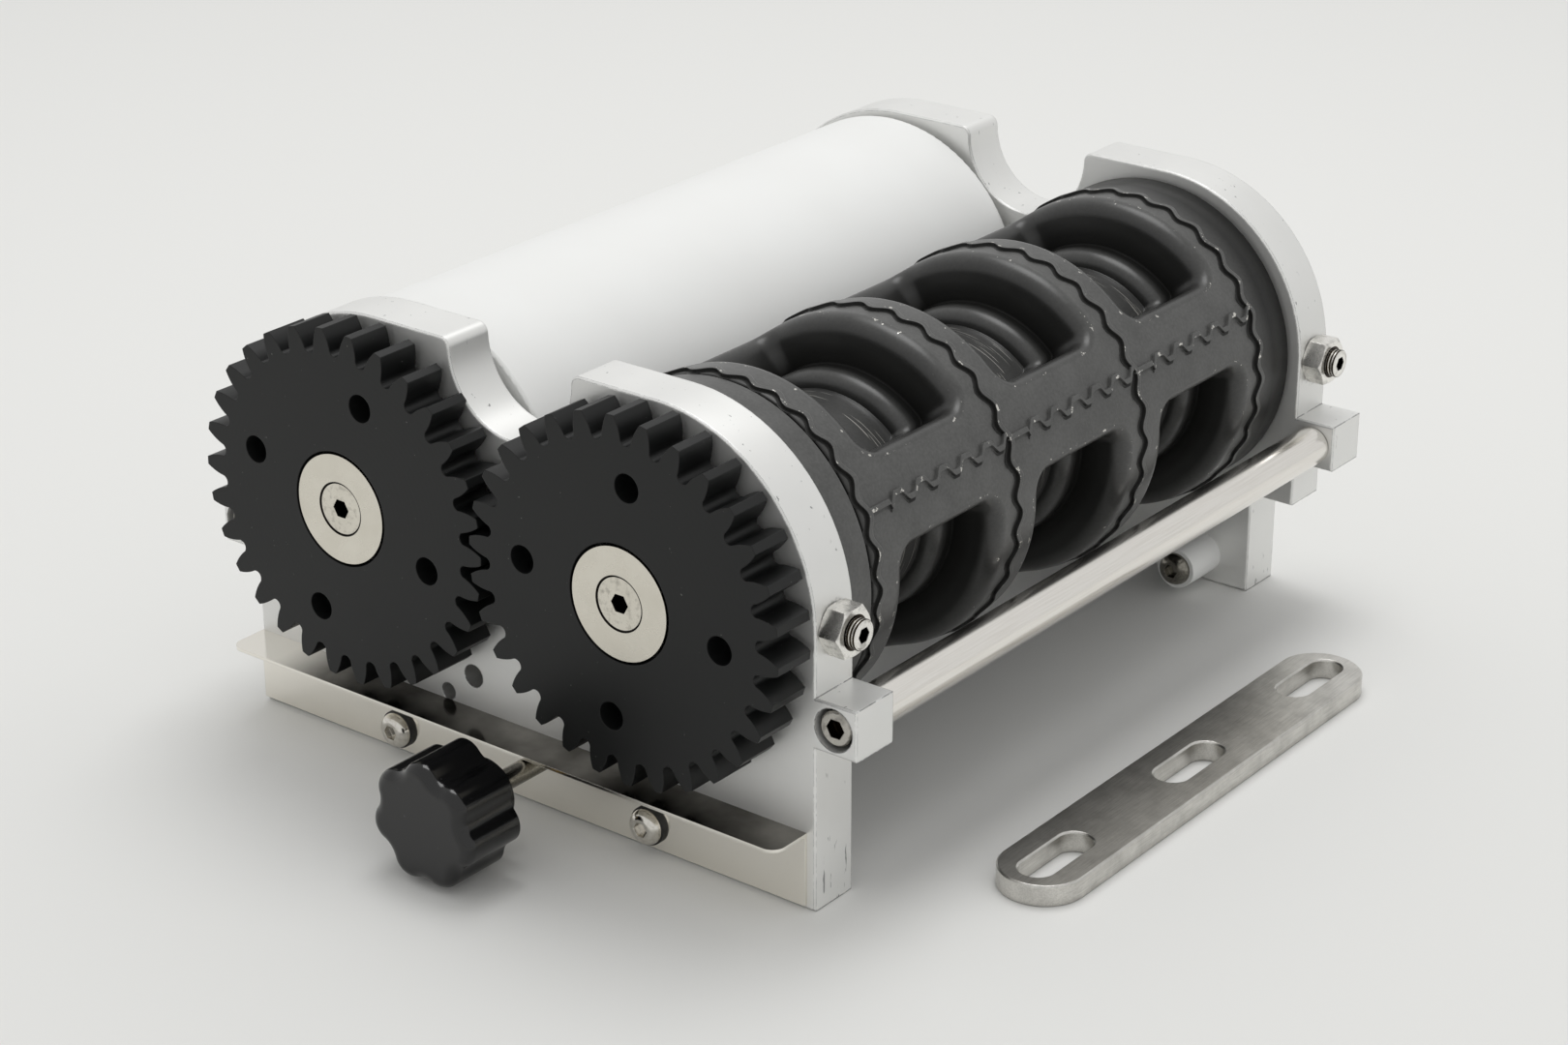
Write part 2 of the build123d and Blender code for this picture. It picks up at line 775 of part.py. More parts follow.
# Guide pegs: sleeves on the rear plate's inner face, each held by a screw
with BuildPart() as guide_pegs:
    for sleeve_x in (-peg_x, peg_x):
        with BuildSketch(front_plane(rear_inner, sleeve_x, peg_height)):
            Circle(peg_radius)
            Circle(m6_radius + pass_gap, mode=Mode.SUBTRACT)
        extrude(amount=peg_length)
save(guide_pegs, "guide_pegs")

with BuildPart() as guide_peg_screws:
    for sleeve_x in (-peg_x, peg_x):
        add(button_screw(sleeve_x, peg_height, rear_inner - peg_length, -1, peg_shank))
save(guide_peg_screws, "guide_peg_screws")

# Clamp screw: a stud through the guard and the plate
with BuildPart() as clamp_stud:
    with BuildSketch(front_plane(front_inner + stud_tip, knob_x, knob_height)):
        Circle(m6_radius)
    extrude(amount=front_inner + stud_tip - hub_back + stud_embed)
    chamfer(clamp_stud.edges().filter_by(GeomType.CIRCLE), rod_chamfer)
save(clamp_stud, "clamp_stud")

# Clamp knob: a lobed grip with a hub, moulded around a tapped insert
with BuildPart() as clamp_knob:
    with BuildSketch(front_plane(knob_back, knob_x, knob_height)) as lobed:
        Circle(knob_radius - knob_lobe_radius)
        with PolarLocations(knob_radius - knob_lobe_radius, knob_lobes, start_angle=knob_lobe_turn):
            Circle(knob_lobe_radius)
        fillet(lobed.vertices(), knob_hollow)
    extrude(amount=knob_depth)
    fillet(clamp_knob.faces().sort_by(Axis.Y)[0].edges(), knob_round)
    with BuildSketch(front_plane(hub_back, knob_x, knob_height)):
        Circle(hub_radius)
    extrude(amount=hub_length)
    with Locations(seen_from_rear(knob_x, hub_back, knob_height)):
        Hole(insert_radius + slip, insert_length + slip)
save(clamp_knob, "clamp_knob")

with BuildPart() as knob_insert:
    with BuildSketch(front_plane(hub_back, knob_x, knob_height)):
        Circle(insert_radius)
    extrude(amount=insert_length)
    with Locations(seen_from_rear(knob_x, hub_back, knob_height)):
        Hole(m6_tap_radius, stud_embed + thread_gap)
save(knob_insert, "knob_insert")

# Fixing strap: a loose round-ended bar with slots for bolts
strap_length = (strap_slots - 1) * strap_slot_spacing + strap_slot_length + 2 * strap_end

with BuildPart() as fixing_strap:
    with BuildSketch(Plane(origin=(strap_x, strap_y, 0), x_dir=(0, 1, 0), z_dir=(0, 0, 1))):
        SlotOverall(strap_length, strap_width)
        with GridLocations(strap_slot_spacing, 0, strap_slots, 1):
            SlotOverall(strap_slot_length, strap_slot_width, mode=Mode.SUBTRACT)
    extrude(amount=strap_thickness)
    chamfer(fixing_strap.faces().sort_by(Axis.Z)[-1].edges(), strap_chamfer)
save(fixing_strap, "fixing_strap")
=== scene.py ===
import math

import bmesh
import bpy
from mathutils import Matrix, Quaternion, Vector


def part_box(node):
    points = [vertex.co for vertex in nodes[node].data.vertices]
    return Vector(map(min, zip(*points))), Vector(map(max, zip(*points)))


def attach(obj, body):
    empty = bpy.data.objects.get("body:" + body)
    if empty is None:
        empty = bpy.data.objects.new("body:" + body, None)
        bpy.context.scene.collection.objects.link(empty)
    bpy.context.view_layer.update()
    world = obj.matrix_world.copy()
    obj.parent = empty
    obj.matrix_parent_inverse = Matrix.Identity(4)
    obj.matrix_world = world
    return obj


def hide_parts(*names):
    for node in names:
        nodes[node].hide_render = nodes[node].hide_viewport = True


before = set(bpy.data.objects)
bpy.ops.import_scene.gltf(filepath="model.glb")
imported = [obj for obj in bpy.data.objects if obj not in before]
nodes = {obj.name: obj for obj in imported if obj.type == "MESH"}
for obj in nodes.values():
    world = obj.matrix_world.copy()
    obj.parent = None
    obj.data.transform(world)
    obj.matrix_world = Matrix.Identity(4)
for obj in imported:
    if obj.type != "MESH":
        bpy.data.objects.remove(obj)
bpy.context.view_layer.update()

# Ravioli forming roller unit: end plates, a white roller, a pocketed die roller, gears and a loose strap
mm = 0.001
print("frame loaded:", len(nodes), "nodes")


# Small helpers: colour, nodes, objects
def linear(hexColour):
    channels = [int(hexColour[place:place + 2], 16) / 255 for place in (1, 3, 5)]
    straight = [c / 12.92 if c <= 0.04045 else ((c + 0.055) / 1.055) ** 2.4 for c in channels]
    return (*straight, 1.0)


def feed(tree, node, inputs):
    for socket, value in inputs.items():
        if isinstance(value, bpy.types.Node):
            value = value.outputs[0]
        if isinstance(value, bpy.types.NodeSocket):
            tree.links.new(value, node.inputs[socket])
        else:
            node.inputs[socket].default_value = value


def addNode(tree, kind, inputs=None, **settings):
    node = tree.nodes.new(kind)
    for name, value in settings.items():
        setattr(node, name, value)
    feed(tree, node, inputs or {})  # a node given as an input stands for its first output
    return node


def startMaterial(name, sockets):
    material = bpy.data.materials.new(name)
    material.use_nodes = True
    shader = material.node_tree.nodes["Principled BSDF"]
    feed(material.node_tree, shader, sockets)
    return material, material.node_tree, shader


def addMesh(name, mesh, body, slot, *replaced):
    piece = bpy.data.objects.new(name, mesh)
    bpy.context.scene.collection.objects.link(piece)
    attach(piece, body)
    if replaced:
        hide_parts(*replaced)
    return piece


def middle(node):
    low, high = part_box(node)
    return (low + high) / 2


# Axes and places read from the frame
dieAxis = middle("die_end_ring")
anvilAxis = middle("anvil_roller")
rodAxis = middle("right_tie_rod")
unitMiddle = (middle("front_end_plate") + middle("rear_end_plate")) / 2
unitMiddle.x = unitMiddle.z = 0
plateAway = unitMiddle.y - middle("front_end_plate").y


def foldedPlace(tree, place):
    # the unit is alike left and right and, for its screws, front and rear: one quarter stands for all
    moved = addNode(tree, "ShaderNodeVectorMath", {0: place, 1: unitMiddle}, operation="SUBTRACT")
    return addNode(tree, "ShaderNodeVectorMath", {0: moved}, operation="ABSOLUTE")


def axisDistance(tree, place, keep, centre):
    flat = addNode(tree, "ShaderNodeVectorMath", {0: place, 1: keep}, operation="MULTIPLY")
    away = addNode(tree, "ShaderNodeVectorMath", {0: flat, 1: centre}, operation="DISTANCE")
    return away.outputs["Value"]


def cornerMask(tree, reach):
    # one on a corner and nought on a flat, with the rounded normal that goes with it
    rounded = addNode(tree, "ShaderNodeBevel", {"Radius": reach}, samples=6)
    plain = addNode(tree, "ShaderNodeNewGeometry").outputs["Normal"]
    turn = addNode(tree, "ShaderNodeVectorMath", {0: rounded, 1: plain}, operation="DOT_PRODUCT")
    mask = addNode(tree, "ShaderNodeMapRange", {
        "Value": turn.outputs["Value"], "From Min": 0.9, "From Max": 0.995, "To Min": 1.0, "To Max": 0.0})
    return mask, rounded


# Anodised aluminium, blasted then anodised: an even pale satin with dark nicks on its corners, scuffs on
# the rims and grime with painted shade in its holes (mm; a hole is given across, up and by radius; only
# the front is tapped).
# The blasted grain is drawn coarser than a real one, so that it shows
anodised = {
    "pale": "#f0f0ee", "grey": "#e2e2e0", "nick": "#3c3c3f", "bore": "#3a342e", "smudge": "#8d8d8a",
    "metallic": 0.62, "cloudMm": 30, "nickMm": 2.4, "cornerMm": 0.7, "scuffMm": 1.6, "grainMm": 0.5,
    "reliefMm": 0.1, "smudgeFromMm": 9, "smudgeToMm": 15, "wipeMm": 5, "footMm": 26,
    "boreInMm": 0.1, "boreOutMm": 0.25,
    "seats": ((rodAxis.x / mm, rodAxis.z / mm, 5.7), (-rodAxis.x / mm, rodAxis.z / mm, 5.7)),
    "taps": ((-17.5, 32.5, 3.2), (-27.3, 24.9, 2.35)),
}
nutPlace = Vector((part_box("adjuster_nuts")[1].x, plateAway, dieAxis.z))


def makeAnodised(name, holes):
    material, tree, shader = startMaterial(name, {"Metallic": anodised["metallic"]})
    place = addNode(tree, "ShaderNodeTexCoord").outputs["Object"]
    cloud = addNode(tree, "ShaderNodeTexNoise", {
        "Vector": place, "Scale": 1 / (anodised["cloudMm"] * mm), "Detail": 4})
    tone = addNode(tree, "ShaderNodeMix", {
        0: cloud, 6: linear(anodised["grey"]), 7: linear(anodised["pale"])}, data_type="RGBA").outputs[2]
    # a grey smudge where hands and spanners reach, around each adjuster
    folded = foldedPlace(tree, place)
    fromNut = axisDistance(tree, folded, (1, 1, 1), nutPlace)
    near = addNode(tree, "ShaderNodeMapRange", {
        "Value": fromNut, "From Min": anodised["smudgeFromMm"] * mm,
        "From Max": anodised["smudgeToMm"] * mm, "To Min": 0.3, "To Max": 0.0})
    wiped = addNode(tree, "ShaderNodeTexNoise", {
        "Vector": place, "Scale": 1 / (anodised["wipeMm"] * mm), "Detail": 5})
    patch = addNode(tree, "ShaderNodeMath", {0: near, 1: wiped}, operation="ADD")
    smudge = addNode(tree, "ShaderNodeMapRange", {
        "Value": patch, "From Min": 0.79, "From Max": 1.0, "To Max": 0.75})
    tone = addNode(tree, "ShaderNodeMix", {
        0: smudge, 6: tone, 7: linear(anodised["smudge"])}, data_type="RGBA").outputs[2]
    # nicks gather on the corners; scuffs are upright streaks that keep to the rims
    corner, rounded = cornerMask(tree, anodised["cornerMm"] * mm)
    chips = addNode(tree, "ShaderNodeTexNoise", {
        "Vector": place, "Scale": 1 / (anodised["nickMm"] * mm), "Detail": 6, "Roughness": 0.7})
    reach = addNode(tree, "ShaderNodeMath", {0: corner, 1: 0.38, 2: chips}, operation="MULTIPLY_ADD")
    nick = addNode(tree, "ShaderNodeMapRange", {
        "Value": reach, "From Min": 0.79, "From Max": 0.84, "To Max": 0.9})
    upright = addNode(tree, "ShaderNodeMapping", {"Vector": place, "Scale": (1, 1, 0.22)})
    streaks = addNode(tree, "ShaderNodeTexNoise", {
        "Vector": upright, "Detail": 3, "Scale": 1 / (anodised["scuffMm"] * mm)})
    facing = addNode(tree, "ShaderNodeSeparateXYZ", {
        0: addNode(tree, "ShaderNodeNewGeometry").outputs["Normal"]})
    flat = addNode(tree, "ShaderNodeMath", {0: facing.outputs["Y"]}, operation="ABSOLUTE")
    spared = addNode(tree, "ShaderNodeMath", {0: flat, 1: -0.2, 2: streaks}, operation="MULTIPLY_ADD")
    upward = addNode(tree, "ShaderNodeSeparateXYZ", {0: place}).outputs["Z"]
    low = addNode(tree, "ShaderNodeMapRange", {
        "Value": upward, "From Max": anodised["footMm"] * mm, "To Min": 0.07, "To Max": 0.0})
    scuffed = addNode(tree, "ShaderNodeMath", {0: spared, 1: low}, operation="ADD")
    scuff = addNode(tree, "ShaderNodeMapRange", {
        "Value": scuffed, "From Min": 0.69, "From Max": 0.74, "To Max": 0.7})
    dark = addNode(tree, "ShaderNodeMath", {0: nick, 1: scuff}, operation="MAXIMUM")
    colour = addNode(tree, "ShaderNodeMix", {
        0: dark, 6: tone, 7: linear(anodised["nick"])}, data_type="RGBA").outputs[2]
    # grime with painted shade: each hole is painted dark inside
    for across, up, radius in holes:
        away = axisDistance(tree, place, (1, 0, 1), (across * mm, 0, up * mm))
        holeGrimeAndShade = addNode(tree, "ShaderNodeMapRange", {
            "Value": away, "From Min": (radius - anodised["boreInMm"]) * mm,
            "From Max": (radius + anodised["boreOutMm"]) * mm, "To Min": 1.0, "To Max": 0.0})
        colour = addNode(tree, "ShaderNodeMix", {
            0: holeGrimeAndShade, 6: colour, 7: linear(anodised["bore"])}, data_type="RGBA").outputs[2]
    worn = addNode(tree, "ShaderNodeMapRange", {"Value": cloud, "To Min": 0.36, "To Max": 0.48})
    grain = addNode(tree, "ShaderNodeTexNoise", {
        "Vector": place, "Scale": 1 / (anodised["grainMm"] * mm), "Detail": 2})
    bump = addNode(tree, "ShaderNodeBump", {
        "Height": grain, "Strength": 0.05, "Distance": anodised["reliefMm"] * mm, "Normal": rounded})
    feed(tree, shader, {"Base Color": colour, "Roughness": worn, "Normal": bump})
    return material


# Steel, bronze and brass, turned, drawn or milled: fine marks that run one way, a faint haze, dark nicks
# and, on some, stains (mm). The marks are drawn coarser than real ones, so that they show
steelLook = {"nick": "#4a4844", "blot": "#7f7d79", "nickMm": 2.2, "blotMm": 8, "hazeMm": 40,
             "cornerMm": 0.3, "reliefMm": 0.1}


def makeSteel(name, pale, dark, roughness, grainMm, stretch=(1, 1, 1), bumpStrength=0.05, stained=0.0):
    material, tree, shader = startMaterial(name, {"Metallic": 1.0})
    place = addNode(tree, "ShaderNodeTexCoord").outputs["Object"]
    run = addNode(tree, "ShaderNodeMapping", {"Vector": place, "Scale": stretch})
    grain = addNode(tree, "ShaderNodeTexNoise", {"Vector": run, "Scale": 1 / (grainMm * mm), "Detail": 4})
    tone = addNode(tree, "ShaderNodeMapRange", {"Value": grain, "From Min": 0.3, "From Max": 0.6})
    colour = addNode(tree, "ShaderNodeMix", {
        0: tone, 6: linear(dark), 7: linear(pale)}, data_type="RGBA").outputs[2]
    blots = addNode(tree, "ShaderNodeTexNoise", {
        "Vector": place, "Scale": 1 / (steelLook["blotMm"] * mm), "Detail": 7, "Roughness": 0.65})
    blot = addNode(tree, "ShaderNodeMapRange", {
        "Value": blots, "From Min": 0.4, "From Max": 0.7, "To Max": stained})
    colour = addNode(tree, "ShaderNodeMix", {
        0: blot, 6: colour, 7: linear(steelLook["blot"])}, data_type="RGBA").outputs[2]
    marks = addNode(tree, "ShaderNodeTexNoise", {
        "Vector": place, "Scale": 1 / (steelLook["nickMm"] * mm), "Detail": 5, "Roughness": 0.7})
    nick = addNode(tree, "ShaderNodeMapRange", {
        "Value": marks, "From Min": 0.74, "From Max": 0.79, "To Max": 0.6})
    colour = addNode(tree, "ShaderNodeMix", {
        0: nick, 6: colour, 7: linear(steelLook["nick"])}, data_type="RGBA").outputs[2]
    haze = addNode(tree, "ShaderNodeTexNoise", {
        "Vector": place, "Scale": 1 / (steelLook["hazeMm"] * mm), "Detail": 2})
    satin = addNode(tree, "ShaderNodeMapRange", {
        "Value": haze, "To Min": roughness * 0.85, "To Max": roughness * 1.15})
    rounded = addNode(tree, "ShaderNodeBevel", {"Radius": steelLook["cornerMm"] * mm}, samples=4)
    bump = addNode(tree, "ShaderNodeBump", {
        "Height": grain, "Strength": bumpStrength, "Distance": steelLook["reliefMm"] * mm,
        "Normal": rounded})
    feed(tree, shader, {"Base Color": colour, "Roughness": satin, "Normal": bump})
    return material


# Bright rolled stainless sheet: nearly a mirror, with a painted dark reflection of the gears on its top
# face, below the gears (mm)
guardSheet = {"pale": "#f7f4ed", "dull": "#efebe2", "paintedReflection": "#4f4c46", "reflectionFrom": -84, "reflectionTo": -66,
              "cloudMm": 25, "cornerMm": 0.25}


def makeGuardSteel(name):
    material, tree, shader = startMaterial(name, {"Metallic": 1.0})
    place = addNode(tree, "ShaderNodeTexCoord").outputs["Object"]
    cloud = addNode(tree, "ShaderNodeTexNoise", {
        "Vector": place, "Scale": 1 / (guardSheet["cloudMm"] * mm), "Detail": 5})
    tone = addNode(tree, "ShaderNodeMix", {
        0: cloud, 6: linear(guardSheet["dull"]), 7: linear(guardSheet["pale"])}, data_type="RGBA")
    # painted reflection: upward faces below the gears are painted dark, patchy with the cloud
    normal = addNode(tree, "ShaderNodeNewGeometry").outputs["Normal"]
    facing = addNode(tree, "ShaderNodeSeparateXYZ", {0: normal})
    upward = addNode(tree, "ShaderNodeMapRange", {
        "Value": facing.outputs["Z"], "From Min": 0.9, "From Max": 0.99})
    across = addNode(tree, "ShaderNodeMapRange", {
        "Value": addNode(tree, "ShaderNodeSeparateXYZ", {0: place}),
        "From Min": guardSheet["reflectionFrom"] * mm, "From Max": guardSheet["reflectionTo"] * mm})
    paintedReflection = addNode(tree, "ShaderNodeMath", {0: upward, 1: across}, operation="MULTIPLY")
    patchy = addNode(tree, "ShaderNodeMapRange", {
        "Value": cloud, "From Min": 0.3, "From Max": 0.6, "To Min": 0.75, "To Max": 1.0})
    paintedReflection = addNode(tree, "ShaderNodeMath", {0: paintedReflection, 1: patchy}, operation="MULTIPLY")
    colour = addNode(tree, "ShaderNodeMix", {
        0: paintedReflection, 6: tone.outputs[2], 7: linear(guardSheet["paintedReflection"])}, data_type="RGBA")
    satin = addNode(tree, "ShaderNodeMapRange", {"Value": cloud, "To Min": 0.08, "To Max": 0.2})
    rounded = addNode(tree, "ShaderNodeBevel", {"Radius": guardSheet["cornerMm"] * mm}, samples=4)
    feed(tree, shader, {"Base Color": colour.outputs[2], "Roughness": satin, "Normal": rounded})
    return material


# Plated steel of screws and nuts: bright corners, hexagon sockets darkened with painted shade, brown
# smears and a dark ring of grime where a thread comes out (mm)
screwLook = {"grimeAndShade": "#2e261c", "smearMm": 2.6, "ringMm": 0.4, "deepFromMm": 0.1, "deepToMm": 0.5,
             "cornerMm": 0.35, "reliefMm": 0.1}


def makeScrewSteel(name, pale, keep, centre, lengthwise, headAt, socketMm, threadMm):
    material, tree, shader = startMaterial(name, {"Metallic": 1.0})
    place = addNode(tree, "ShaderNodeTexCoord").outputs["Object"]
    folded = foldedPlace(tree, place)
    away = axisDistance(tree, folded, keep, centre)
    along = addNode(tree, "ShaderNodeSeparateXYZ", {0: folded}).outputs[lengthwise]
    depth = addNode(tree, "ShaderNodeMapRange", {
        "Value": along, "From Min": headAt - screwLook["deepToMm"] * mm,
        "From Max": headAt - screwLook["deepFromMm"] * mm, "To Min": 1.0, "To Max": 0.0})
    # painted shade: the hexagon socket is painted dark deeper in
    inner = addNode(tree, "ShaderNodeMath", {0: away, 1: socketMm * mm}, operation="LESS_THAN")
    socket = addNode(tree, "ShaderNodeMath", {0: depth, 1: inner}, operation="MULTIPLY")
    beside = addNode(tree, "ShaderNodeMath", {
        0: away, 1: threadMm * mm, 2: screwLook["ringMm"] * mm}, operation="COMPARE")
    smears = addNode(tree, "ShaderNodeTexNoise", {
        "Vector": place, "Scale": 1 / (screwLook["smearMm"] * mm), "Detail": 5})
    smear = addNode(tree, "ShaderNodeMapRange", {
        "Value": smears, "From Min": 0.5, "From Max": 0.72, "To Max": 0.5})
    grimeAndShade = addNode(tree, "ShaderNodeMath", {0: beside, 1: smear}, operation="MAXIMUM")
    dark = addNode(tree, "ShaderNodeMath", {0: grimeAndShade, 1: socket}, operation="MAXIMUM")
    colour = addNode(tree, "ShaderNodeMix", {
        0: dark, 6: linear(pale), 7: linear(screwLook["grimeAndShade"])}, data_type="RGBA")
    satin = addNode(tree, "ShaderNodeMapRange", {"Value": smears, "To Min": 0.2, "To Max": 0.36})
    rounded = addNode(tree, "ShaderNodeBevel", {"Radius": screwLook["cornerMm"] * mm}, samples=4)
    bump = addNode(tree, "ShaderNodeBump", {
        "Height": smears, "Strength": 0.06, "Distance": screwLook["reliefMm"] * mm, "Normal": rounded})
    feed(tree, shader, {"Base Color": colour.outputs[2], "Roughness": satin, "Normal": bump})
    return material


waveSpacing = math.pi / 10  # how far apart a wave texture's bands lie at a scale of one

# White acetal, turned: milky, half matt, with faint turning rings around the roller, drawn coarser than
# real ones so that they show (mm)
whiteRoller = {"pale": "#eeefee", "dull": "#e6e6e4", "cloudMm": 45, "ringMm": 2.375, "ringDeepMm": 0.05}


def makeWhiteAcetal():
    material, tree, shader = startMaterial("whiteAcetalTurned", {"IOR": 1.48})
    place = addNode(tree, "ShaderNodeTexCoord").outputs["Object"]
    cloud = addNode(tree, "ShaderNodeTexNoise", {
        "Vector": place, "Scale": 1 / (whiteRoller["cloudMm"] * mm), "Detail": 3})
    tone = addNode(tree, "ShaderNodeMix", {
        0: cloud, 6: linear(whiteRoller["dull"]), 7: linear(whiteRoller["pale"])}, data_type="RGBA")
    rings = addNode(tree, "ShaderNodeTexWave", {
        "Vector": place, "Scale": waveSpacing / (whiteRoller["ringMm"] * mm), "Distortion": 0.6},
        bands_direction="Y")
    bump = addNode(tree, "ShaderNodeBump", {
        "Height": rings.outputs["Fac"], "Strength": 0.02, "Distance": whiteRoller["ringDeepMm"] * mm})
    satin = addNode(tree, "ShaderNodeMapRange", {"Value": cloud, "To Min": 0.36, "To Max": 0.48})
    feed(tree, shader, {"Base Color": tone.outputs[2], "Roughness": satin, "Normal": bump})
    return material


# Black acetal, turned and hobbed: flat black with a few pale specks of dough and faint facing rings, drawn
# coarser than real ones so that they show (mm)
gearLook = {"black": "#0f1010", "grey": "#161717", "speck": "#8a8a86", "cloudMm": 20, "speckMm": 1.1,
            "ringMm": 1.7813, "ringDeepMm": 0.05, "cornerMm": 0.4}


def makeBlackAcetal(name, axis):
    material, tree, shader = startMaterial(name, {"IOR": 1.48, "Specular IOR Level": 0.34})
    place = addNode(tree, "ShaderNodeTexCoord").outputs["Object"]
    centred = addNode(tree, "ShaderNodeMapping", {"Vector": place, "Location": (-axis.x, 0, -axis.z)})
    rings = addNode(tree, "ShaderNodeTexWave", {
        "Vector": centred, "Scale": waveSpacing / (gearLook["ringMm"] * mm), "Distortion": 0.4},
        wave_type="RINGS", rings_direction="Y")
    cloud = addNode(tree, "ShaderNodeTexNoise", {
        "Vector": place, "Scale": 1 / (gearLook["cloudMm"] * mm), "Detail": 4})
    tone = addNode(tree, "ShaderNodeMix", {
        0: cloud, 6: linear(gearLook["black"]), 7: linear(gearLook["grey"])}, data_type="RGBA")
    specks = addNode(tree, "ShaderNodeTexNoise", {
        "Vector": place, "Scale": 1 / (gearLook["speckMm"] * mm), "Detail": 2})
    spot = addNode(tree, "ShaderNodeMapRange", {
        "Value": specks, "From Min": 0.765, "From Max": 0.79, "To Max": 0.5})
    colour = addNode(tree, "ShaderNodeMix", {
        0: spot, 6: tone.outputs[2], 7: linear(gearLook["speck"])}, data_type="RGBA")
    rounded = addNode(tree, "ShaderNodeBevel", {"Radius": gearLook["cornerMm"] * mm}, samples=4)
    bump = addNode(tree, "ShaderNodeBump", {
        "Height": rings.outputs["Fac"], "Strength": 0.06, "Distance": gearLook["ringDeepMm"] * mm,
        "Normal": rounded})
    satin = addNode(tree, "ShaderNodeMapRange", {"Value": cloud, "To Min": 0.34, "To Max": 0.48})
    feed(tree, shader, {"Base Color": colour.outputs[2], "Roughness": satin, "Normal": bump})
    return material


# Cast aluminium with a dark non-stick coating: charcoal with a fine orange-peel skin, bare metal where it
# is chipped, and turned lines on the pocket floors, drawn coarser than real ones so that they show (mm)
# The pockets are darkened with painted shade, palest on the ledge's roll as a painted highlight
coating = {"charcoal": "#555554", "dull": "#464645", "deepShade": "#1b1b1a", "bare": "#d5d3cd",
           "grimeAndShade": "#0f0f0e", "cloudMm": 9, "peelMm": 0.9, "peelDeepMm": 0.12, "chipMm": 2.6,
           "turnedMm": 0.55}


def makeCoating(name):
    material, tree, shader = startMaterial(name, {"IOR": 1.5})
    place = addNode(tree, "ShaderNodeTexCoord").outputs["Object"]
    insideShade, edge, grimeAndShade, turned = (
        addNode(tree, "ShaderNodeAttribute", attribute_name=label).outputs["Fac"]
        for label in ("insideShade", "edge", "grimeAndShade", "turned"))
    cloud = addNode(tree, "ShaderNodeTexNoise", {
        "Vector": place, "Scale": 1 / (coating["cloudMm"] * mm), "Detail": 5})
    speck = addNode(tree, "ShaderNodeTexNoise", {
        "Vector": place, "Scale": 1 / (coating["peelMm"] * mm), "Detail": 3})
    mottle = addNode(tree, "ShaderNodeMath", {0: cloud, 1: speck}, operation="ADD")
    shade = addNode(tree, "ShaderNodeMapRange", {"Value": mottle, "From Min": 0.75, "From Max": 1.25})
    land = addNode(tree, "ShaderNodeMix", {
        0: shade, 6: linear(coating["dull"]), 7: linear(coating["charcoal"])}, data_type="RGBA")
    # painted shade: the pockets are mixed towards a dark colour by the insideShade attribute
    deepShade = addNode(tree, "ShaderNodeMix", {
        0: insideShade, 6: land.outputs[2], 7: linear(coating["deepShade"])}, data_type="RGBA")
    chips = addNode(tree, "ShaderNodeTexNoise", {
        "Vector": place, "Scale": 1 / (coating["chipMm"] * mm), "Detail": 6, "Roughness": 0.68})
    reach = addNode(tree, "ShaderNodeMath", {0: edge, 1: 0.17, 2: chips}, operation="MULTIPLY_ADD")
    chipped = addNode(tree, "ShaderNodeMapRange", {"Value": reach, "From Min": 0.748, "From Max": 0.768})
    # lines left by the turning tool, broken up along their length
    lathe = addNode(tree, "ShaderNodeMapping", {"Vector": place, "Scale": (0.03, 1, 0.03)})
    lines = addNode(tree, "ShaderNodeTexNoise", {
        "Vector": lathe, "Scale": 1 / (coating["turnedMm"] * mm), "Detail": 1})
    line = addNode(tree, "ShaderNodeMapRange", {
        "Value": lines, "From Min": 0.64, "From Max": 0.68, "To Max": 0.8})
    scored = addNode(tree, "ShaderNodeMath", {0: line, 1: turned}, operation="MULTIPLY")
    bare = addNode(tree, "ShaderNodeMath", {0: chipped, 1: scored}, operation="MAXIMUM")
    worn = addNode(tree, "ShaderNodeMix", {
        0: bare, 6: deepShade.outputs[2], 7: linear(coating["bare"])}, data_type="RGBA")
    # grime with painted shade: ridge feet, seam valleys, the joint behind the end ring and the band by the
    # rear plate are painted dark
    colour = addNode(tree, "ShaderNodeMix", {
        0: grimeAndShade, 6: worn.outputs[2], 7: linear(coating["grimeAndShade"])}, data_type="RGBA")
    bump = addNode(tree, "ShaderNodeBump", {
        "Height": speck, "Strength": 0.14, "Distance": coating["peelDeepMm"] * mm})
    satin = addNode(tree, "ShaderNodeMapRange", {"Value": cloud, "To Min": 0.26, "To Max": 0.4})
    # the painted grime and shade, and the feet of the walls, are too dull to shine
    foot = addNode(tree, "ShaderNodeMapRange", {"Value": insideShade, "From Min": 0.93, "From Max": 1.0})
    dull = addNode(tree, "ShaderNodeMath", {0: foot, 1: grimeAndShade}, operation="MAXIMUM")
    shine = addNode(tree, "ShaderNodeMapRange", {"Value": dull, "To Min": 0.5, "To Max": 0.06})
    feed(tree, shader, {"Base Color": colour.outputs[2], "Metallic": bare, "Roughness": satin,
                        "Specular IOR Level": shine, "Normal": bump})
    return material


# Moulded black phenolic or nylon: a smooth skin, a little wavy, with pale dust (mm)
moulding = {"dust": "#77777a", "cloudMm": 11, "dustMm": 1.3, "rippleMm": 0.3}


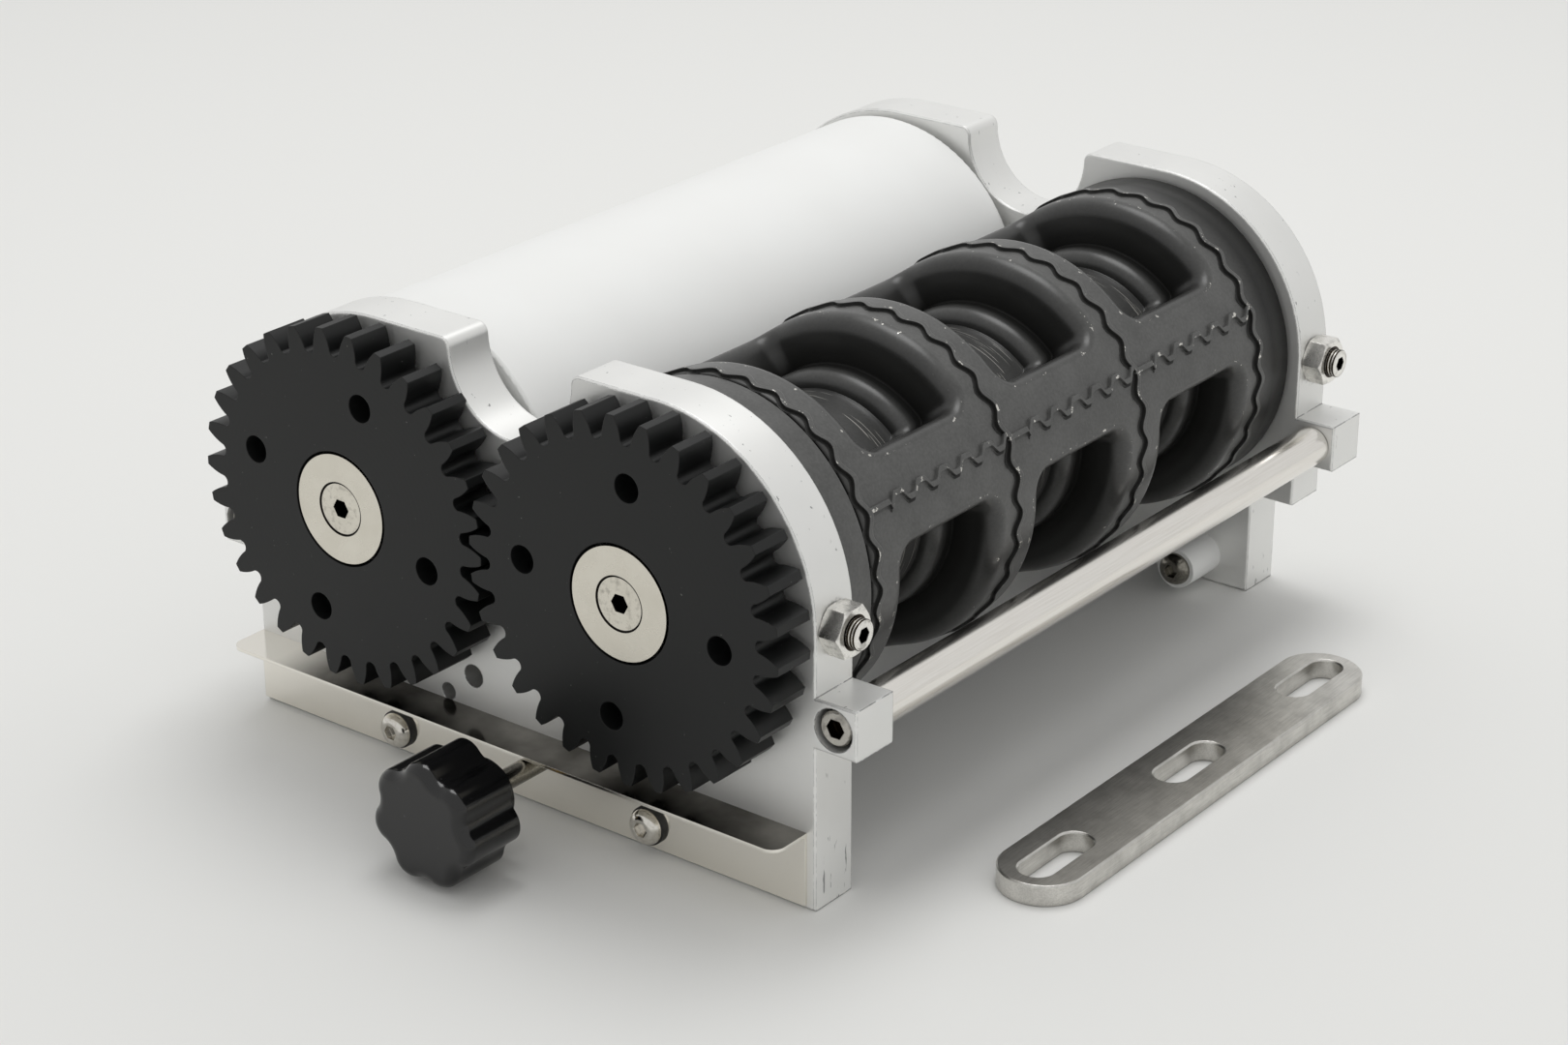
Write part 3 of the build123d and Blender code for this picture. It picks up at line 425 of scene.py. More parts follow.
def makeBlackMoulding(name, colour, roughness):
    material, tree, shader = startMaterial(name, {"IOR": 1.55})
    place = addNode(tree, "ShaderNodeTexCoord").outputs["Object"]
    cloud = addNode(tree, "ShaderNodeTexNoise", {
        "Vector": place, "Scale": 1 / (moulding["cloudMm"] * mm), "Detail": 4})
    dust = addNode(tree, "ShaderNodeTexNoise", {
        "Vector": place, "Scale": 1 / (moulding["dustMm"] * mm), "Detail": 3})
    spot = addNode(tree, "ShaderNodeMapRange", {
        "Value": dust, "From Min": 0.74, "From Max": 0.78, "To Max": 0.45})
    tone = addNode(tree, "ShaderNodeMix", {
        0: spot, 6: linear(colour), 7: linear(moulding["dust"])}, data_type="RGBA")
    satin = addNode(tree, "ShaderNodeMapRange", {
        "Value": cloud, "To Min": roughness * 0.7, "To Max": roughness * 1.5})
    ripple = addNode(tree, "ShaderNodeBump", {
        "Height": cloud, "Strength": 0.05, "Distance": moulding["rippleMm"] * mm})
    feed(tree, shader, {"Base Color": tone.outputs[2], "Roughness": satin, "Normal": ripple})
    return material


# Stainless washers and sunk screws, faced on a lathe: a dark joint around the screw's head, painted shade
# in the hexagon socket and fine rings, drawn coarser than real ones so that they show (mm)
faced = {"pale": "#e4e0d5", "dark": "#d0cbbf", "grimeAndShade": "#191715", "stain": "#77736b", "cloudMm": 8,
         "stainMm": 1.8, "jointMm": 0.3, "socketMm": 2.95, "deepFromMm": 0.1, "deepToMm": 0.6,
         "ringMm": 0.9896, "ringDeepMm": 0.05}


def makeFacedSteel(name, axis, screw):
    material, tree, shader = startMaterial(name, {"Metallic": 1.0})
    place = addNode(tree, "ShaderNodeTexCoord").outputs["Object"]
    low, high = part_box(screw)
    headRadius = (high.x - low.x) / 2
    away = axisDistance(tree, place, (1, 0, 1), (axis.x, 0, axis.z))
    joint = addNode(tree, "ShaderNodeMath", {
        0: away, 1: headRadius, 2: faced["jointMm"] * mm}, operation="COMPARE")
    # painted shade: the hexagon socket is painted dark deeper in
    inner = addNode(tree, "ShaderNodeMath", {0: away, 1: faced["socketMm"] * mm}, operation="LESS_THAN")
    deepShade = addNode(tree, "ShaderNodeMapRange", {
        "Value": addNode(tree, "ShaderNodeSeparateXYZ", {0: place}).outputs["Y"],
        "From Min": low.y + faced["deepFromMm"] * mm, "From Max": low.y + faced["deepToMm"] * mm})
    socket = addNode(tree, "ShaderNodeMath", {0: inner, 1: deepShade}, operation="MULTIPLY")
    dark = addNode(tree, "ShaderNodeMath", {0: joint, 1: socket}, operation="MAXIMUM")
    cloud = addNode(tree, "ShaderNodeTexNoise", {
        "Vector": place, "Scale": 1 / (faced["cloudMm"] * mm), "Detail": 4})
    # the head is greyer than the washer, with small stains
    head = addNode(tree, "ShaderNodeMath", {0: away, 1: headRadius}, operation="LESS_THAN")
    stains = addNode(tree, "ShaderNodeTexNoise", {
        "Vector": place, "Scale": 1 / (faced["stainMm"] * mm), "Detail": 5})
    stain = addNode(tree, "ShaderNodeMapRange", {
        "Value": stains, "From Min": 0.5, "From Max": 0.75, "To Max": 0.55})
    stained = addNode(tree, "ShaderNodeMath", {0: stain, 1: head}, operation="MULTIPLY")
    tone = addNode(tree, "ShaderNodeMix", {
        0: cloud, 6: linear(faced["dark"]), 7: linear(faced["pale"])}, data_type="RGBA")
    dull = addNode(tree, "ShaderNodeMix", {
        0: stained, 6: tone.outputs[2], 7: linear(faced["stain"])}, data_type="RGBA")
    colour = addNode(tree, "ShaderNodeMix", {
        0: dark, 6: dull.outputs[2], 7: linear(faced["grimeAndShade"])}, data_type="RGBA")
    centred = addNode(tree, "ShaderNodeMapping", {"Vector": place, "Location": (-axis.x, 0, -axis.z)})
    rings = addNode(tree, "ShaderNodeTexWave", {
        "Vector": centred, "Scale": waveSpacing / (faced["ringMm"] * mm), "Distortion": 0.5, "Detail": 2},
        wave_type="RINGS", rings_direction="Y")
    bump = addNode(tree, "ShaderNodeBump", {
        "Height": rings.outputs["Fac"], "Strength": 0.05, "Distance": faced["ringDeepMm"] * mm})
    satin = addNode(tree, "ShaderNodeMapRange", {"Value": cloud, "To Min": 0.2, "To Max": 0.34})
    feed(tree, shader, {"Base Color": colour.outputs[2], "Roughness": satin, "Normal": bump})
    return material


frontAnodised = makeAnodised("anodisedAluminiumFront", anodised["seats"] + anodised["taps"])
rearAnodised = makeAnodised("anodisedAluminiumRear", anodised["seats"])
rodSteel = makeSteel("stainlessRodDrawn", "#efece7", "#e8e4de", roughness=0.22, grainMm=0.35,
                     stretch=(1, 0.02, 1), bumpStrength=0.02)
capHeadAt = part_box("tie_rod_screws")[1].y - unitMiddle.y
capSteel = makeScrewSteel("zincSteelCapScrew", "#bdbab3", (1, 0, 1), (rodAxis.x, 0, rodAxis.z), "Y",
                          capHeadAt, socketMm=2.95, threadMm=5.3)
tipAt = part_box("adjuster_screws")[1].x
adjusterSteel = makeScrewSteel("zincSteelAdjuster", "#f1efea", (0, 1, 1), (0, plateAway, dieAxis.z), "X",
                               tipAt, socketMm=2.38, threadMm=4.45)
sheetSteel = makeGuardSteel("stainlessSheetBright")
polishedSteel = makeSteel("stainlessButtonPolished", "#dcd9d2", "#c6c2ba", roughness=0.12, grainMm=1.2,
                          bumpStrength=0.02)
strapSteel = makeSteel("stainlessBarMilled", "#d8d6d1", "#c4c2bd", roughness=0.3, grainMm=0.35,
                       stretch=(1, 0.04, 1), bumpStrength=0.03, stained=0.36)
shaftSteel = makeSteel("groundShaftSteel", "#b9b7b2", "#96948f", roughness=0.25, grainMm=0.5,
                       stretch=(1, 1, 0.1))
darkSteel = makeSteel("oiledSteelScrew", "#8b8880", "#6a675f", roughness=0.22, grainMm=0.6)
bronze = makeSteel("sinteredBronze", "#a9834f", "#7d5d36", roughness=0.4, grainMm=0.6)
brass = makeSteel("turnedBrass", "#c3a35b", "#97793d", roughness=0.3, grainMm=0.6, stretch=(1, 0.1, 1))
whiteAcetal = makeWhiteAcetal()
dieCoating = makeCoating("darkCoatedAluminium")
knobPhenolic = makeBlackMoulding("blackPhenolicMoulded", "#0b0b0c", roughness=0.16)
blackNylon = makeBlackMoulding("blackNylonSpacer", "#151515", roughness=0.5)
anvilAcetal = makeBlackAcetal("blackAcetalAnvilGear", anvilAxis)
dieAcetal = makeBlackAcetal("blackAcetalDieGear", dieAxis)
anvilFaced = makeFacedSteel("facedStainlessAnvil", anvilAxis, "anvil_gear_screw")
dieFaced = makeFacedSteel("facedStainlessDie", dieAxis, "die_gear_screw")
print("materials made:", len(bpy.data.materials))

finishes = {
    frontAnodised: ["front_end_plate"],
    rearAnodised: ["rear_end_plate"],
    rodSteel: ["left_tie_rod", "right_tie_rod"],
    capSteel: ["tie_rod_screws"],
    adjusterSteel: ["adjuster_screws", "adjuster_nuts"],
    sheetSteel: ["gear_guard"],
    polishedSteel: ["guard_screws"],
    blackNylon: ["guard_spacers"],
    darkSteel: ["guide_peg_screws", "clamp_stud"],
    whiteAcetal: ["anvil_roller", "guide_pegs"],
    shaftSteel: ["anvil_shaft", "die_shaft", "anvil_roller_key", "die_roller_key", "anvil_gear_key",
                 "die_gear_key"],
    bronze: ["anvil_front_bush", "anvil_rear_bush", "die_front_bush", "die_rear_bush"],
    brass: ["knob_insert"],
    anvilAcetal: ["anvil_gear"],
    dieAcetal: ["die_gear"],
    anvilFaced: ["anvil_gear_washer", "anvil_gear_screw"],
    dieFaced: ["die_gear_washer", "die_gear_screw"],
    dieCoating: ["die_roller", "die_end_ring"],
    knobPhenolic: ["clamp_knob"],
    strapSteel: ["fixing_strap"],
}
for material, names in finishes.items():
    for name in names:
        slots = nodes[name].material_slots
        for slot in slots:
            slot.material = material
        if not slots:
            nodes[name].data.materials.append(material)
print("finishes given to", sum(len(names) for names in finishes.values()), "nodes")

# Die roller: a drum of nine cells, each a pocket with a rolled rim, a rolled ledge and a turned floor
# (mm and degrees; ledge and floor are radii)
dieRoller = {
    "radius": 48.7, "rows": 3, "lanes": 3, "lanePitch": 63.0, "laneShift": -2.0, "seamTurn": 25.5,
    "barWidth": 22.0, "pocketLength": 50.0, "corner": 9.5, "borderCorner": 12.5, "skirt": 2.0, "lip": 0.4,
    "rim": 5.0, "endRim": 3.2, "draft": 0.7, "wallFoot": 0.6, "footTuck": 0.5, "ledge": 35.2,
    "ledgeRoll": 4.4, "ledgeInset": 0.2, "ledgeCorner": 3.2, "rollInset": 0.4, "rollTaper": 0.15,
    "rollCorner": 3.0, "floor": 30.6, "floorLength": 22.0, "floorInset": 2.0, "floorRim": 0.35,
    "floorRimCorner": 2.6, "floorCorner": 2.2, "floorClose": 1.0, "bore": 14.0, "edgeBreak": 0.4,
    "jointBreak": 0.5, "frontShadeReach": 1.2, "rearShadeReach": 1.5, "weld": 0.004, "sharpTurn": 50,
    "cornerSteps": 8, "sideSteps": 14, "endSteps": 10, "rimSteps": 10, "wallSteps": 3, "footSteps": 3,
    "rollSteps": 8, "floorSteps": 4,
}
# how much bare edge and how much painted shade the parts of a pocket have; the roll is painted palest at
# rollPalest, a painted highlight
pocketShade = {
    "lipEdge": 0.3, "rimEdge": 0.9, "rimDark": 0.2, "wallDark": 0.9, "footDark": 1.0, "ledgeDark": 0.97,
    "rollEdge": 0.1, "rollDark": 0.35, "rollFade": 0.1, "rollPalest": 3, "stepDark": 0.9,
    "floorDark": 0.5,
}
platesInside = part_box("front_end_plate")[1].y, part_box("rear_end_plate")[0].y
laneMiddle = sum(platesInside) / 2 / mm + dieRoller["laneShift"]
cellHalfTurn = dieRoller["radius"] * math.pi / dieRoller["rows"]  # half a cell, measured along the land
cellHalfLane = dieRoller["lanePitch"] / 2
pocketHalfTurn = cellHalfTurn - dieRoller["barWidth"] / 2
pocketHalfLane = dieRoller["pocketLength"] / 2


def cellLoop(halfTurn, halfLane, corner, square=False):
    # points of a rounded rectangle, counted the same way for every loop of a cell
    points = []
    steps = dieRoller["cornerSteps"]
    corner = min(corner, halfTurn, halfLane)
    for quarter, (alongSign, acrossSign) in enumerate(((1, 1), (-1, 1), (-1, -1), (1, -1))):
        centre = Vector((alongSign * (halfTurn - corner), acrossSign * (halfLane - corner)))
        for step in range(steps + 1):
            angle = (quarter + step / steps) * math.pi / 2
            arm = Vector((math.cos(angle), math.sin(angle)))
            if square:
                arm /= max(abs(arm.x), abs(arm.y))
            points.append(centre + arm * corner)
        nextSigns = ((-1, 1), (-1, -1), (1, -1), (1, 1))[quarter]
        nextStart = Vector((nextSigns[0] * (halfTurn - corner), nextSigns[1] * (halfLane - corner)))
        nextAngle = (quarter + 1) * math.pi / 2
        nextStart += Vector((math.cos(nextAngle), math.sin(nextAngle))) * corner
        spread = dieRoller["sideSteps"] * 2 if quarter % 2 == 0 else dieRoller["endSteps"] * 2
        start = points[-1].copy()
        points.extend(start.lerp(nextStart, step / spread) for step in range(1, spread))
    return points


def pocketLoops():
    # from the cell's border down to the floor: points, radius, bare edge, painted shade, turned lines
    corner, land, rim, endRim, draft, foot, ledge, roll, floor = (dieRoller[key] for key in (
        "corner", "radius", "rim", "endRim", "draft", "wallFoot", "ledge", "ledgeRoll", "floor"))

    def loop(endInset, sideInset, bend, radius, edge, insideShade, turned=0.0):
        points = cellLoop(pocketHalfTurn - endInset, pocketHalfLane - sideInset, bend)
        return points, radius, edge, insideShade, turned

    skirt, lip = dieRoller["skirt"], dieRoller["lip"]
    loops = [(cellLoop(cellHalfTurn, cellHalfLane, dieRoller["borderCorner"], True), land, 0, 0, 0)]
    loops.append(loop(-skirt, -skirt, corner + skirt, land, 0, 0))
    loops.append(loop(-lip, -lip, corner + lip, land, pocketShade["lipEdge"], 0))
    for part in range(dieRoller["rimSteps"] + 1):
        share = part / dieRoller["rimSteps"]
        reach = math.sin(share * math.pi / 2)
        drop = rim * (1 - math.cos(share * math.pi / 2))
        dark = pocketShade["rimDark"] + (pocketShade["wallDark"] - pocketShade["rimDark"]) * share
        loops.append(loop(endRim * reach, rim * reach, corner - rim * reach, land - drop,
                          pocketShade["rimEdge"] * (1 - share) ** 2, dark))
    for part in range(1, dieRoller["wallSteps"] + 1):
        share = part / dieRoller["wallSteps"]
        dark = pocketShade["wallDark"] + (pocketShade["footDark"] - pocketShade["wallDark"]) * share
        loops.append(loop(endRim + draft * share, rim + draft * share, corner - rim,
                          land - rim + (ledge + foot - land + rim) * share, 0, dark))
    for part in range(1, dieRoller["footSteps"] + 1):
        angle = part / dieRoller["footSteps"] * math.pi / 2
        inset = draft + foot * (1 - math.cos(angle))
        loops.append(loop(endRim + inset, rim + inset, corner - rim - dieRoller["footTuck"],
                          ledge + foot * (1 - math.sin(angle)), 0, pocketShade["footDark"]))
    # the ledge runs along both sides of the lane; at the pocket's ends the step follows the end wall
    endInset = endRim + draft + foot
    sideInset = rim + draft + foot
    rollStart = pocketHalfLane - dieRoller["floorLength"] / 2 - roll
    loops.append(loop(endInset + dieRoller["ledgeInset"], (sideInset + rollStart) / 2,
                      dieRoller["ledgeCorner"], ledge, 0, pocketShade["ledgeDark"]))
    # painted highlight: the roll is painted palest near its crest and darker to both sides
    for part in range(dieRoller["rollSteps"] + 1):
        angle = part / dieRoller["rollSteps"] * math.pi / 2
        dark = pocketShade["rollDark"] + pocketShade["rollFade"] * abs(part - pocketShade["rollPalest"])
        loops.append(loop(endInset + dieRoller["rollInset"] + dieRoller["rollTaper"] * part,
                          rollStart + roll * math.sin(angle), dieRoller["rollCorner"],
                          ledge - roll * (1 - math.cos(angle)), pocketShade["rollEdge"], dark))
    floorInset, floorRim = endInset + dieRoller["floorInset"], dieRoller["floorRim"]
    loops.append(loop(floorInset, rollStart + roll + floorRim, dieRoller["floorRimCorner"], floor, 0,
                      pocketShade["stepDark"]))
    halfFloor = dieRoller["floorLength"] / 2 - floorRim
    for part in range(1, dieRoller["floorSteps"] + 1):
        share = part / dieRoller["floorSteps"]
        left = 1 - share
        loops.append(loop(floorInset + dieRoller["floorClose"] * share, pocketHalfLane - halfFloor * left,
                          dieRoller["floorCorner"] * left, floor, 0, pocketShade["floorDark"], 1.0))
    return loops


def addDieRoller():
    build = bmesh.new()
    edgeLayer = build.verts.layers.float.new("edge")
    insideShadeLayer = build.verts.layers.float.new("insideShade")
    grimeAndShadeLayer = build.verts.layers.float.new("grimeAndShade")
    turnedLayer = build.verts.layers.float.new("turned")
    loops = pocketLoops()

    def place(turn, lane, radius):
        arm = Vector((math.cos(turn), 0, math.sin(turn))) * radius * mm
        return Vector((dieAxis.x, lane * mm, dieAxis.z)) + arm

    def strip(first, second):
        for index in range(len(first)):
            build.faces.new((first[index - 1], first[index], second[index], second[index - 1]))

    cellTurns = [math.radians(dieRoller["seamTurn"] + (row + 0.5) * 360 / dieRoller["rows"])
                 for row in range(dieRoller["rows"])]
    for cellTurn in cellTurns:
        for lane in range(dieRoller["lanes"]):
            cellLane = laneMiddle + dieRoller["lanePitch"] * (lane - (dieRoller["lanes"] - 1) / 2)
            rings = []
            for points, radius, edge, insideShade, turned in loops:
                ring = []
                for point in points:
                    turn = cellTurn + point.x / dieRoller["radius"]
                    vert = build.verts.new(place(turn, cellLane + point.y, radius))
                    vert[edgeLayer] = edge
                    vert[insideShadeLayer] = insideShade
                    vert[turnedLayer] = turned
                    ring.append(vert)
                rings.append(ring)
            for outer, inner in zip(rings, rings[1:]):
                strip(outer, inner)
    # bands beyond the outer lanes, the two end faces and the bore
    border = sorted({round(p.x, 5) for p in loops[0][0] if p.y < -cellHalfLane + 1e-4})[:-1]
    turns = [cellTurn + across / dieRoller["radius"] for cellTurn in cellTurns for across in border]
    low, high = (corner.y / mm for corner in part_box("die_roller"))
    firstRing = laneMiddle - dieRoller["lanePitch"] * dieRoller["lanes"] / 2
    lastRing = laneMiddle + dieRoller["lanePitch"] * dieRoller["lanes"] / 2
    land, bore, crisp, joint = (dieRoller[key] for key in ("radius", "bore", "edgeBreak", "jointBreak"))
    # along, radius and painted shade: the joint behind the end ring, the end faces, the bore and the band
    # by the rear plate are painted dark as shade
    section = [
        (firstRing, land, 0.0), (firstRing - dieRoller["frontShadeReach"], land, 0.3),
        (low + joint, land, 0.5), (low, land - joint, 1.0), (low, bore, 1.0), (high, bore, 1.0),
        (high, land - crisp, 1.0), (high - crisp, land, 0.97), ((lastRing + high) / 2, land, 0.82),
        (lastRing + dieRoller["rearShadeReach"], land, 0.4), (lastRing, land, 0.1),
    ]
    bands = []
    for lane, radius, grimeAndShade in section:
        band = [build.verts.new(place(turn, lane, radius)) for turn in turns]
        for vert in band:
            vert[grimeAndShadeLayer] = grimeAndShade
        bands.append(band)
    for outer, inner in zip(bands, bands[1:]):
        strip(outer, inner)
    bmesh.ops.remove_doubles(build, verts=build.verts, dist=dieRoller["weld"] * mm)
    bmesh.ops.recalc_face_normals(build, faces=build.faces)
    mesh = bpy.data.meshes.new("dieRollerPockets")
    build.to_mesh(mesh)
    build.free()
    for polygon in mesh.polygons:
        polygon.use_smooth = True
    mesh.set_sharp_from_angle(angle=math.radians(dieRoller["sharpTurn"]))
    mesh.materials.append(dieCoating)
    return addMesh("dieRollerPockets", mesh, "die", "coated_aluminium", "die_roller")


dieDrum = addDieRoller()
print("die roller:", len(dieDrum.data.polygons), "faces")

# Cutting ridges on the drum: a scalloped ring at each lane's border and a sawtooth seam along each bar
# (mm and degrees; rise, fall and valley are shares of a tooth)
ridge = {
    "height": 0.9, "root": 0.5, "reach": 2.6, "waves": 30, "swing": 1.2, "wavePhase": 0.8,
    "ringSteps": 360, "firstShift": -0.8, "seamReach": 2.08, "seamPitch": 10.1, "seamRise": 0.3,
    "seamFall": 0.55, "seamValley": 0.82, "seamSwing": 1.35, "seamLead": 9.0, "seamSteps": 252,
    "endShare": 0.4999, "weld": 0.002,
}
# the section across a ridge: share of the way round, side to side, height, bare edge, grime with painted
# shade at its foot
ridgeSection = [
    (0.0, 0.50, 0.0, 0.0, 0.0), (0.1, 0.09, 0.0, 0.0, 0.0), (0.2, 0.1, 0.37, 0.0, 0.6),
    (0.3, 0.14, 0.39, 0.0, 0.82), (0.4, 0.31, 0.41, 0.0, 0.82), (0.5, 0.33, 0.95, 0.2, 0.82),
    (0.6, 0.37, 1.0, 1.0, 0.0), (0.7, 0.63, 1.0, 0.6, 0.0), (0.8, 0.68, 0.93, 0.3, 0.0),
    (0.9, 0.71, 0.0, 0.0, 0.0), (1.0, 0.50, 0.0, 0.0, 0.0),
]


def shapeCurve(node, column):
    curve = node.mapping.curves[0]
    for entry in ridgeSection[1:-1]:
        curve.points.new(entry[0], entry[column])
    curve.points[0].location = (0.0, ridgeSection[0][column])
    curve.points[-1].location = (1.0, ridgeSection[-1][column])
    for point in curve.points:
        point.handle_type = "VECTOR"
    node.mapping.update()
    return node


def startTree(name, sizes):
    tree = bpy.data.node_groups.new(name, "GeometryNodeTree")
    kinds = {int: "NodeSocketInt", float: "NodeSocketFloat", tuple: "NodeSocketVector"}
    for label, value in sizes.items():
        tree.interface.new_socket(label, in_out="INPUT", socket_type=kinds[type(value)])
    tree.interface.new_socket("Geometry", in_out="OUTPUT", socket_type="NodeSocketGeometry")
    return tree, tree.nodes.new("NodeGroupInput").outputs


def growMesh(name, tree, sizes):
    holder = bpy.data.objects.new(name + "Seed", bpy.data.meshes.new(name + "Seed"))
    bpy.context.scene.collection.objects.link(holder)
    modifier = holder.modifiers.new(name, "NODES")
    modifier.node_group = tree
    for item in tree.interface.items_tree:
        if item.in_out == "INPUT":
            modifier[item.identifier] = sizes[item.name]
    grown = holder.evaluated_get(bpy.context.evaluated_depsgraph_get())
    mesh = bpy.data.meshes.new_from_object(grown)
    mesh.name = name
    holder.modifiers.remove(modifier)
    bpy.data.objects.remove(holder)
    return mesh


def ridgeStrip(tree, sizes, steps):
    # a flat grid whose X runs along the ridge and whose Y runs round the ridge's section
    grid = addNode(tree, "GeometryNodeMeshGrid", {
        "Size X": 1.0, "Size Y": 1.0, "Vertices X": steps, "Vertices Y": len(ridgeSection)})
    spot = addNode(tree, "ShaderNodeSeparateXYZ", {0: addNode(tree, "GeometryNodeInputPosition")})
    along = addNode(tree, "ShaderNodeMath", {0: spot.outputs["X"], 1: 0.5}, operation="ADD")
    around = addNode(tree, "ShaderNodeMath", {0: spot.outputs["Y"], 1: 0.5}, operation="ADD")
    curves = [shapeCurve(addNode(tree, "ShaderNodeFloatCurve", {"Value": around}), column)
              for column in range(1, 5)]
    side = addNode(tree, "ShaderNodeMath", {0: curves[0], 1: 0.5}, operation="SUBTRACT")
    side = addNode(tree, "ShaderNodeMath", {0: side, 1: sizes["Reach"]}, operation="MULTIPLY")
    side = addNode(tree, "ShaderNodeMath", {0: side, 1: 2.0}, operation="MULTIPLY")
    tall = addNode(tree, "ShaderNodeMath", {0: sizes["Height"], 1: sizes["Root"]}, operation="ADD")
    lift = addNode(tree, "ShaderNodeMath", {0: curves[1], 1: tall}, operation="MULTIPLY")
    return grid, along, side, lift, curves[2], curves[3]


def wrapStrip(tree, sizes, strip, turn, lift, lane, edge, grimeAndShade):
    # lays the grid on the drum: turn is an angle from +X towards +Z
    for label, value in (("edge", edge), ("grimeAndShade", grimeAndShade)):
        strip = addNode(tree, "GeometryNodeStoreNamedAttribute", {
            "Geometry": strip, "Name": label, "Value": value}, data_type="FLOAT", domain="POINT")
    foot = addNode(tree, "ShaderNodeMath", {0: sizes["Radius"], 1: sizes["Root"]}, operation="SUBTRACT")
    radius = addNode(tree, "ShaderNodeMath", {0: foot, 1: lift}, operation="ADD")
    cosine = addNode(tree, "ShaderNodeMath", {0: turn}, operation="COSINE")
    sine = addNode(tree, "ShaderNodeMath", {0: turn}, operation="SINE")
    east = addNode(tree, "ShaderNodeMath", {0: radius, 1: cosine}, operation="MULTIPLY")
    up = addNode(tree, "ShaderNodeMath", {0: radius, 1: sine}, operation="MULTIPLY")
    spot = addNode(tree, "ShaderNodeCombineXYZ", {"X": east, "Y": lane, "Z": up})
    moved = addNode(tree, "GeometryNodeSetPosition", {"Geometry": strip, "Position": spot})
    return addNode(tree, "GeometryNodeMergeByDistance", {
        "Geometry": moved, "Distance": ridge["weld"] * mm})


def endTree(tree, instances, axis, material):
    plain = addNode(tree, "GeometryNodeRealizeInstances", {"Geometry": instances})
    placed = addNode(tree, "GeometryNodeTransform", {"Geometry": plain, "Translation": axis})
    painted = addNode(tree, "GeometryNodeSetMaterial", {"Geometry": placed, "Material": material})
    addNode(tree, "NodeGroupOutput", {0: painted})


def ringRidges():
    sizes = {
        "Radius": dieRoller["radius"] * mm, "Height": ridge["height"] * mm, "Root": ridge["root"] * mm,
        "Reach": ridge["reach"] * mm, "Swing": ridge["swing"] * mm, "Waves": float(ridge["waves"]),
        "Phase": math.radians(ridge["wavePhase"]), "Rings": dieRoller["lanes"] + 1,
        "Pitch": dieRoller["lanePitch"] * mm, "First Shift": ridge["firstShift"] * mm,
        "First": (laneMiddle - dieRoller["lanePitch"] * dieRoller["lanes"] / 2) * mm,
        "Axis": (dieAxis.x, 0.0, dieAxis.z)}
    tree, inputs = startTree("scallopedRings", sizes)
    strip, along, side, lift, edge, grimeAndShade = ridgeStrip(tree, inputs, ridge["ringSteps"] + 1)
    turn = addNode(tree, "ShaderNodeMath", {0: along, 1: 2 * math.pi}, operation="MULTIPLY")
    early = addNode(tree, "ShaderNodeMath", {0: turn, 1: inputs["Phase"]}, operation="SUBTRACT")
    beat = addNode(tree, "ShaderNodeMath", {0: early, 1: inputs["Waves"]}, operation="MULTIPLY")
    wave = addNode(tree, "ShaderNodeMath", {0: beat}, operation="COSINE")
    lane = addNode(tree, "ShaderNodeMath", {
        0: wave, 1: inputs["Swing"], 2: side}, operation="MULTIPLY_ADD")
    ring = wrapStrip(tree, inputs, strip, turn, lift, lane, edge, grimeAndShade)
    start = addNode(tree, "ShaderNodeCombineXYZ", {"Y": inputs["First"]})
    gap = addNode(tree, "ShaderNodeCombineXYZ", {"Y": inputs["Pitch"]})
    places = addNode(tree, "GeometryNodeMeshLine", {
        "Count": inputs["Rings"], "Start Location": start, "Offset": gap})
    # the first ring stands closer to the end ring than the pitch says
    isFirst = addNode(tree, "ShaderNodeMath", {
        0: addNode(tree, "GeometryNodeInputIndex"), 1: 0.5}, operation="LESS_THAN")
    nudge = addNode(tree, "ShaderNodeMath", {0: isFirst, 1: inputs["First Shift"]}, operation="MULTIPLY")
    offset = addNode(tree, "ShaderNodeCombineXYZ", {"Y": nudge})
    spread = addNode(tree, "GeometryNodeSetPosition", {"Geometry": places, "Offset": offset})
    rings = addNode(tree, "GeometryNodeInstanceOnPoints", {"Points": spread, "Instance": ring})
    endTree(tree, rings, inputs["Axis"], dieCoating)
    return growMesh("dieRingRidges", tree, sizes)


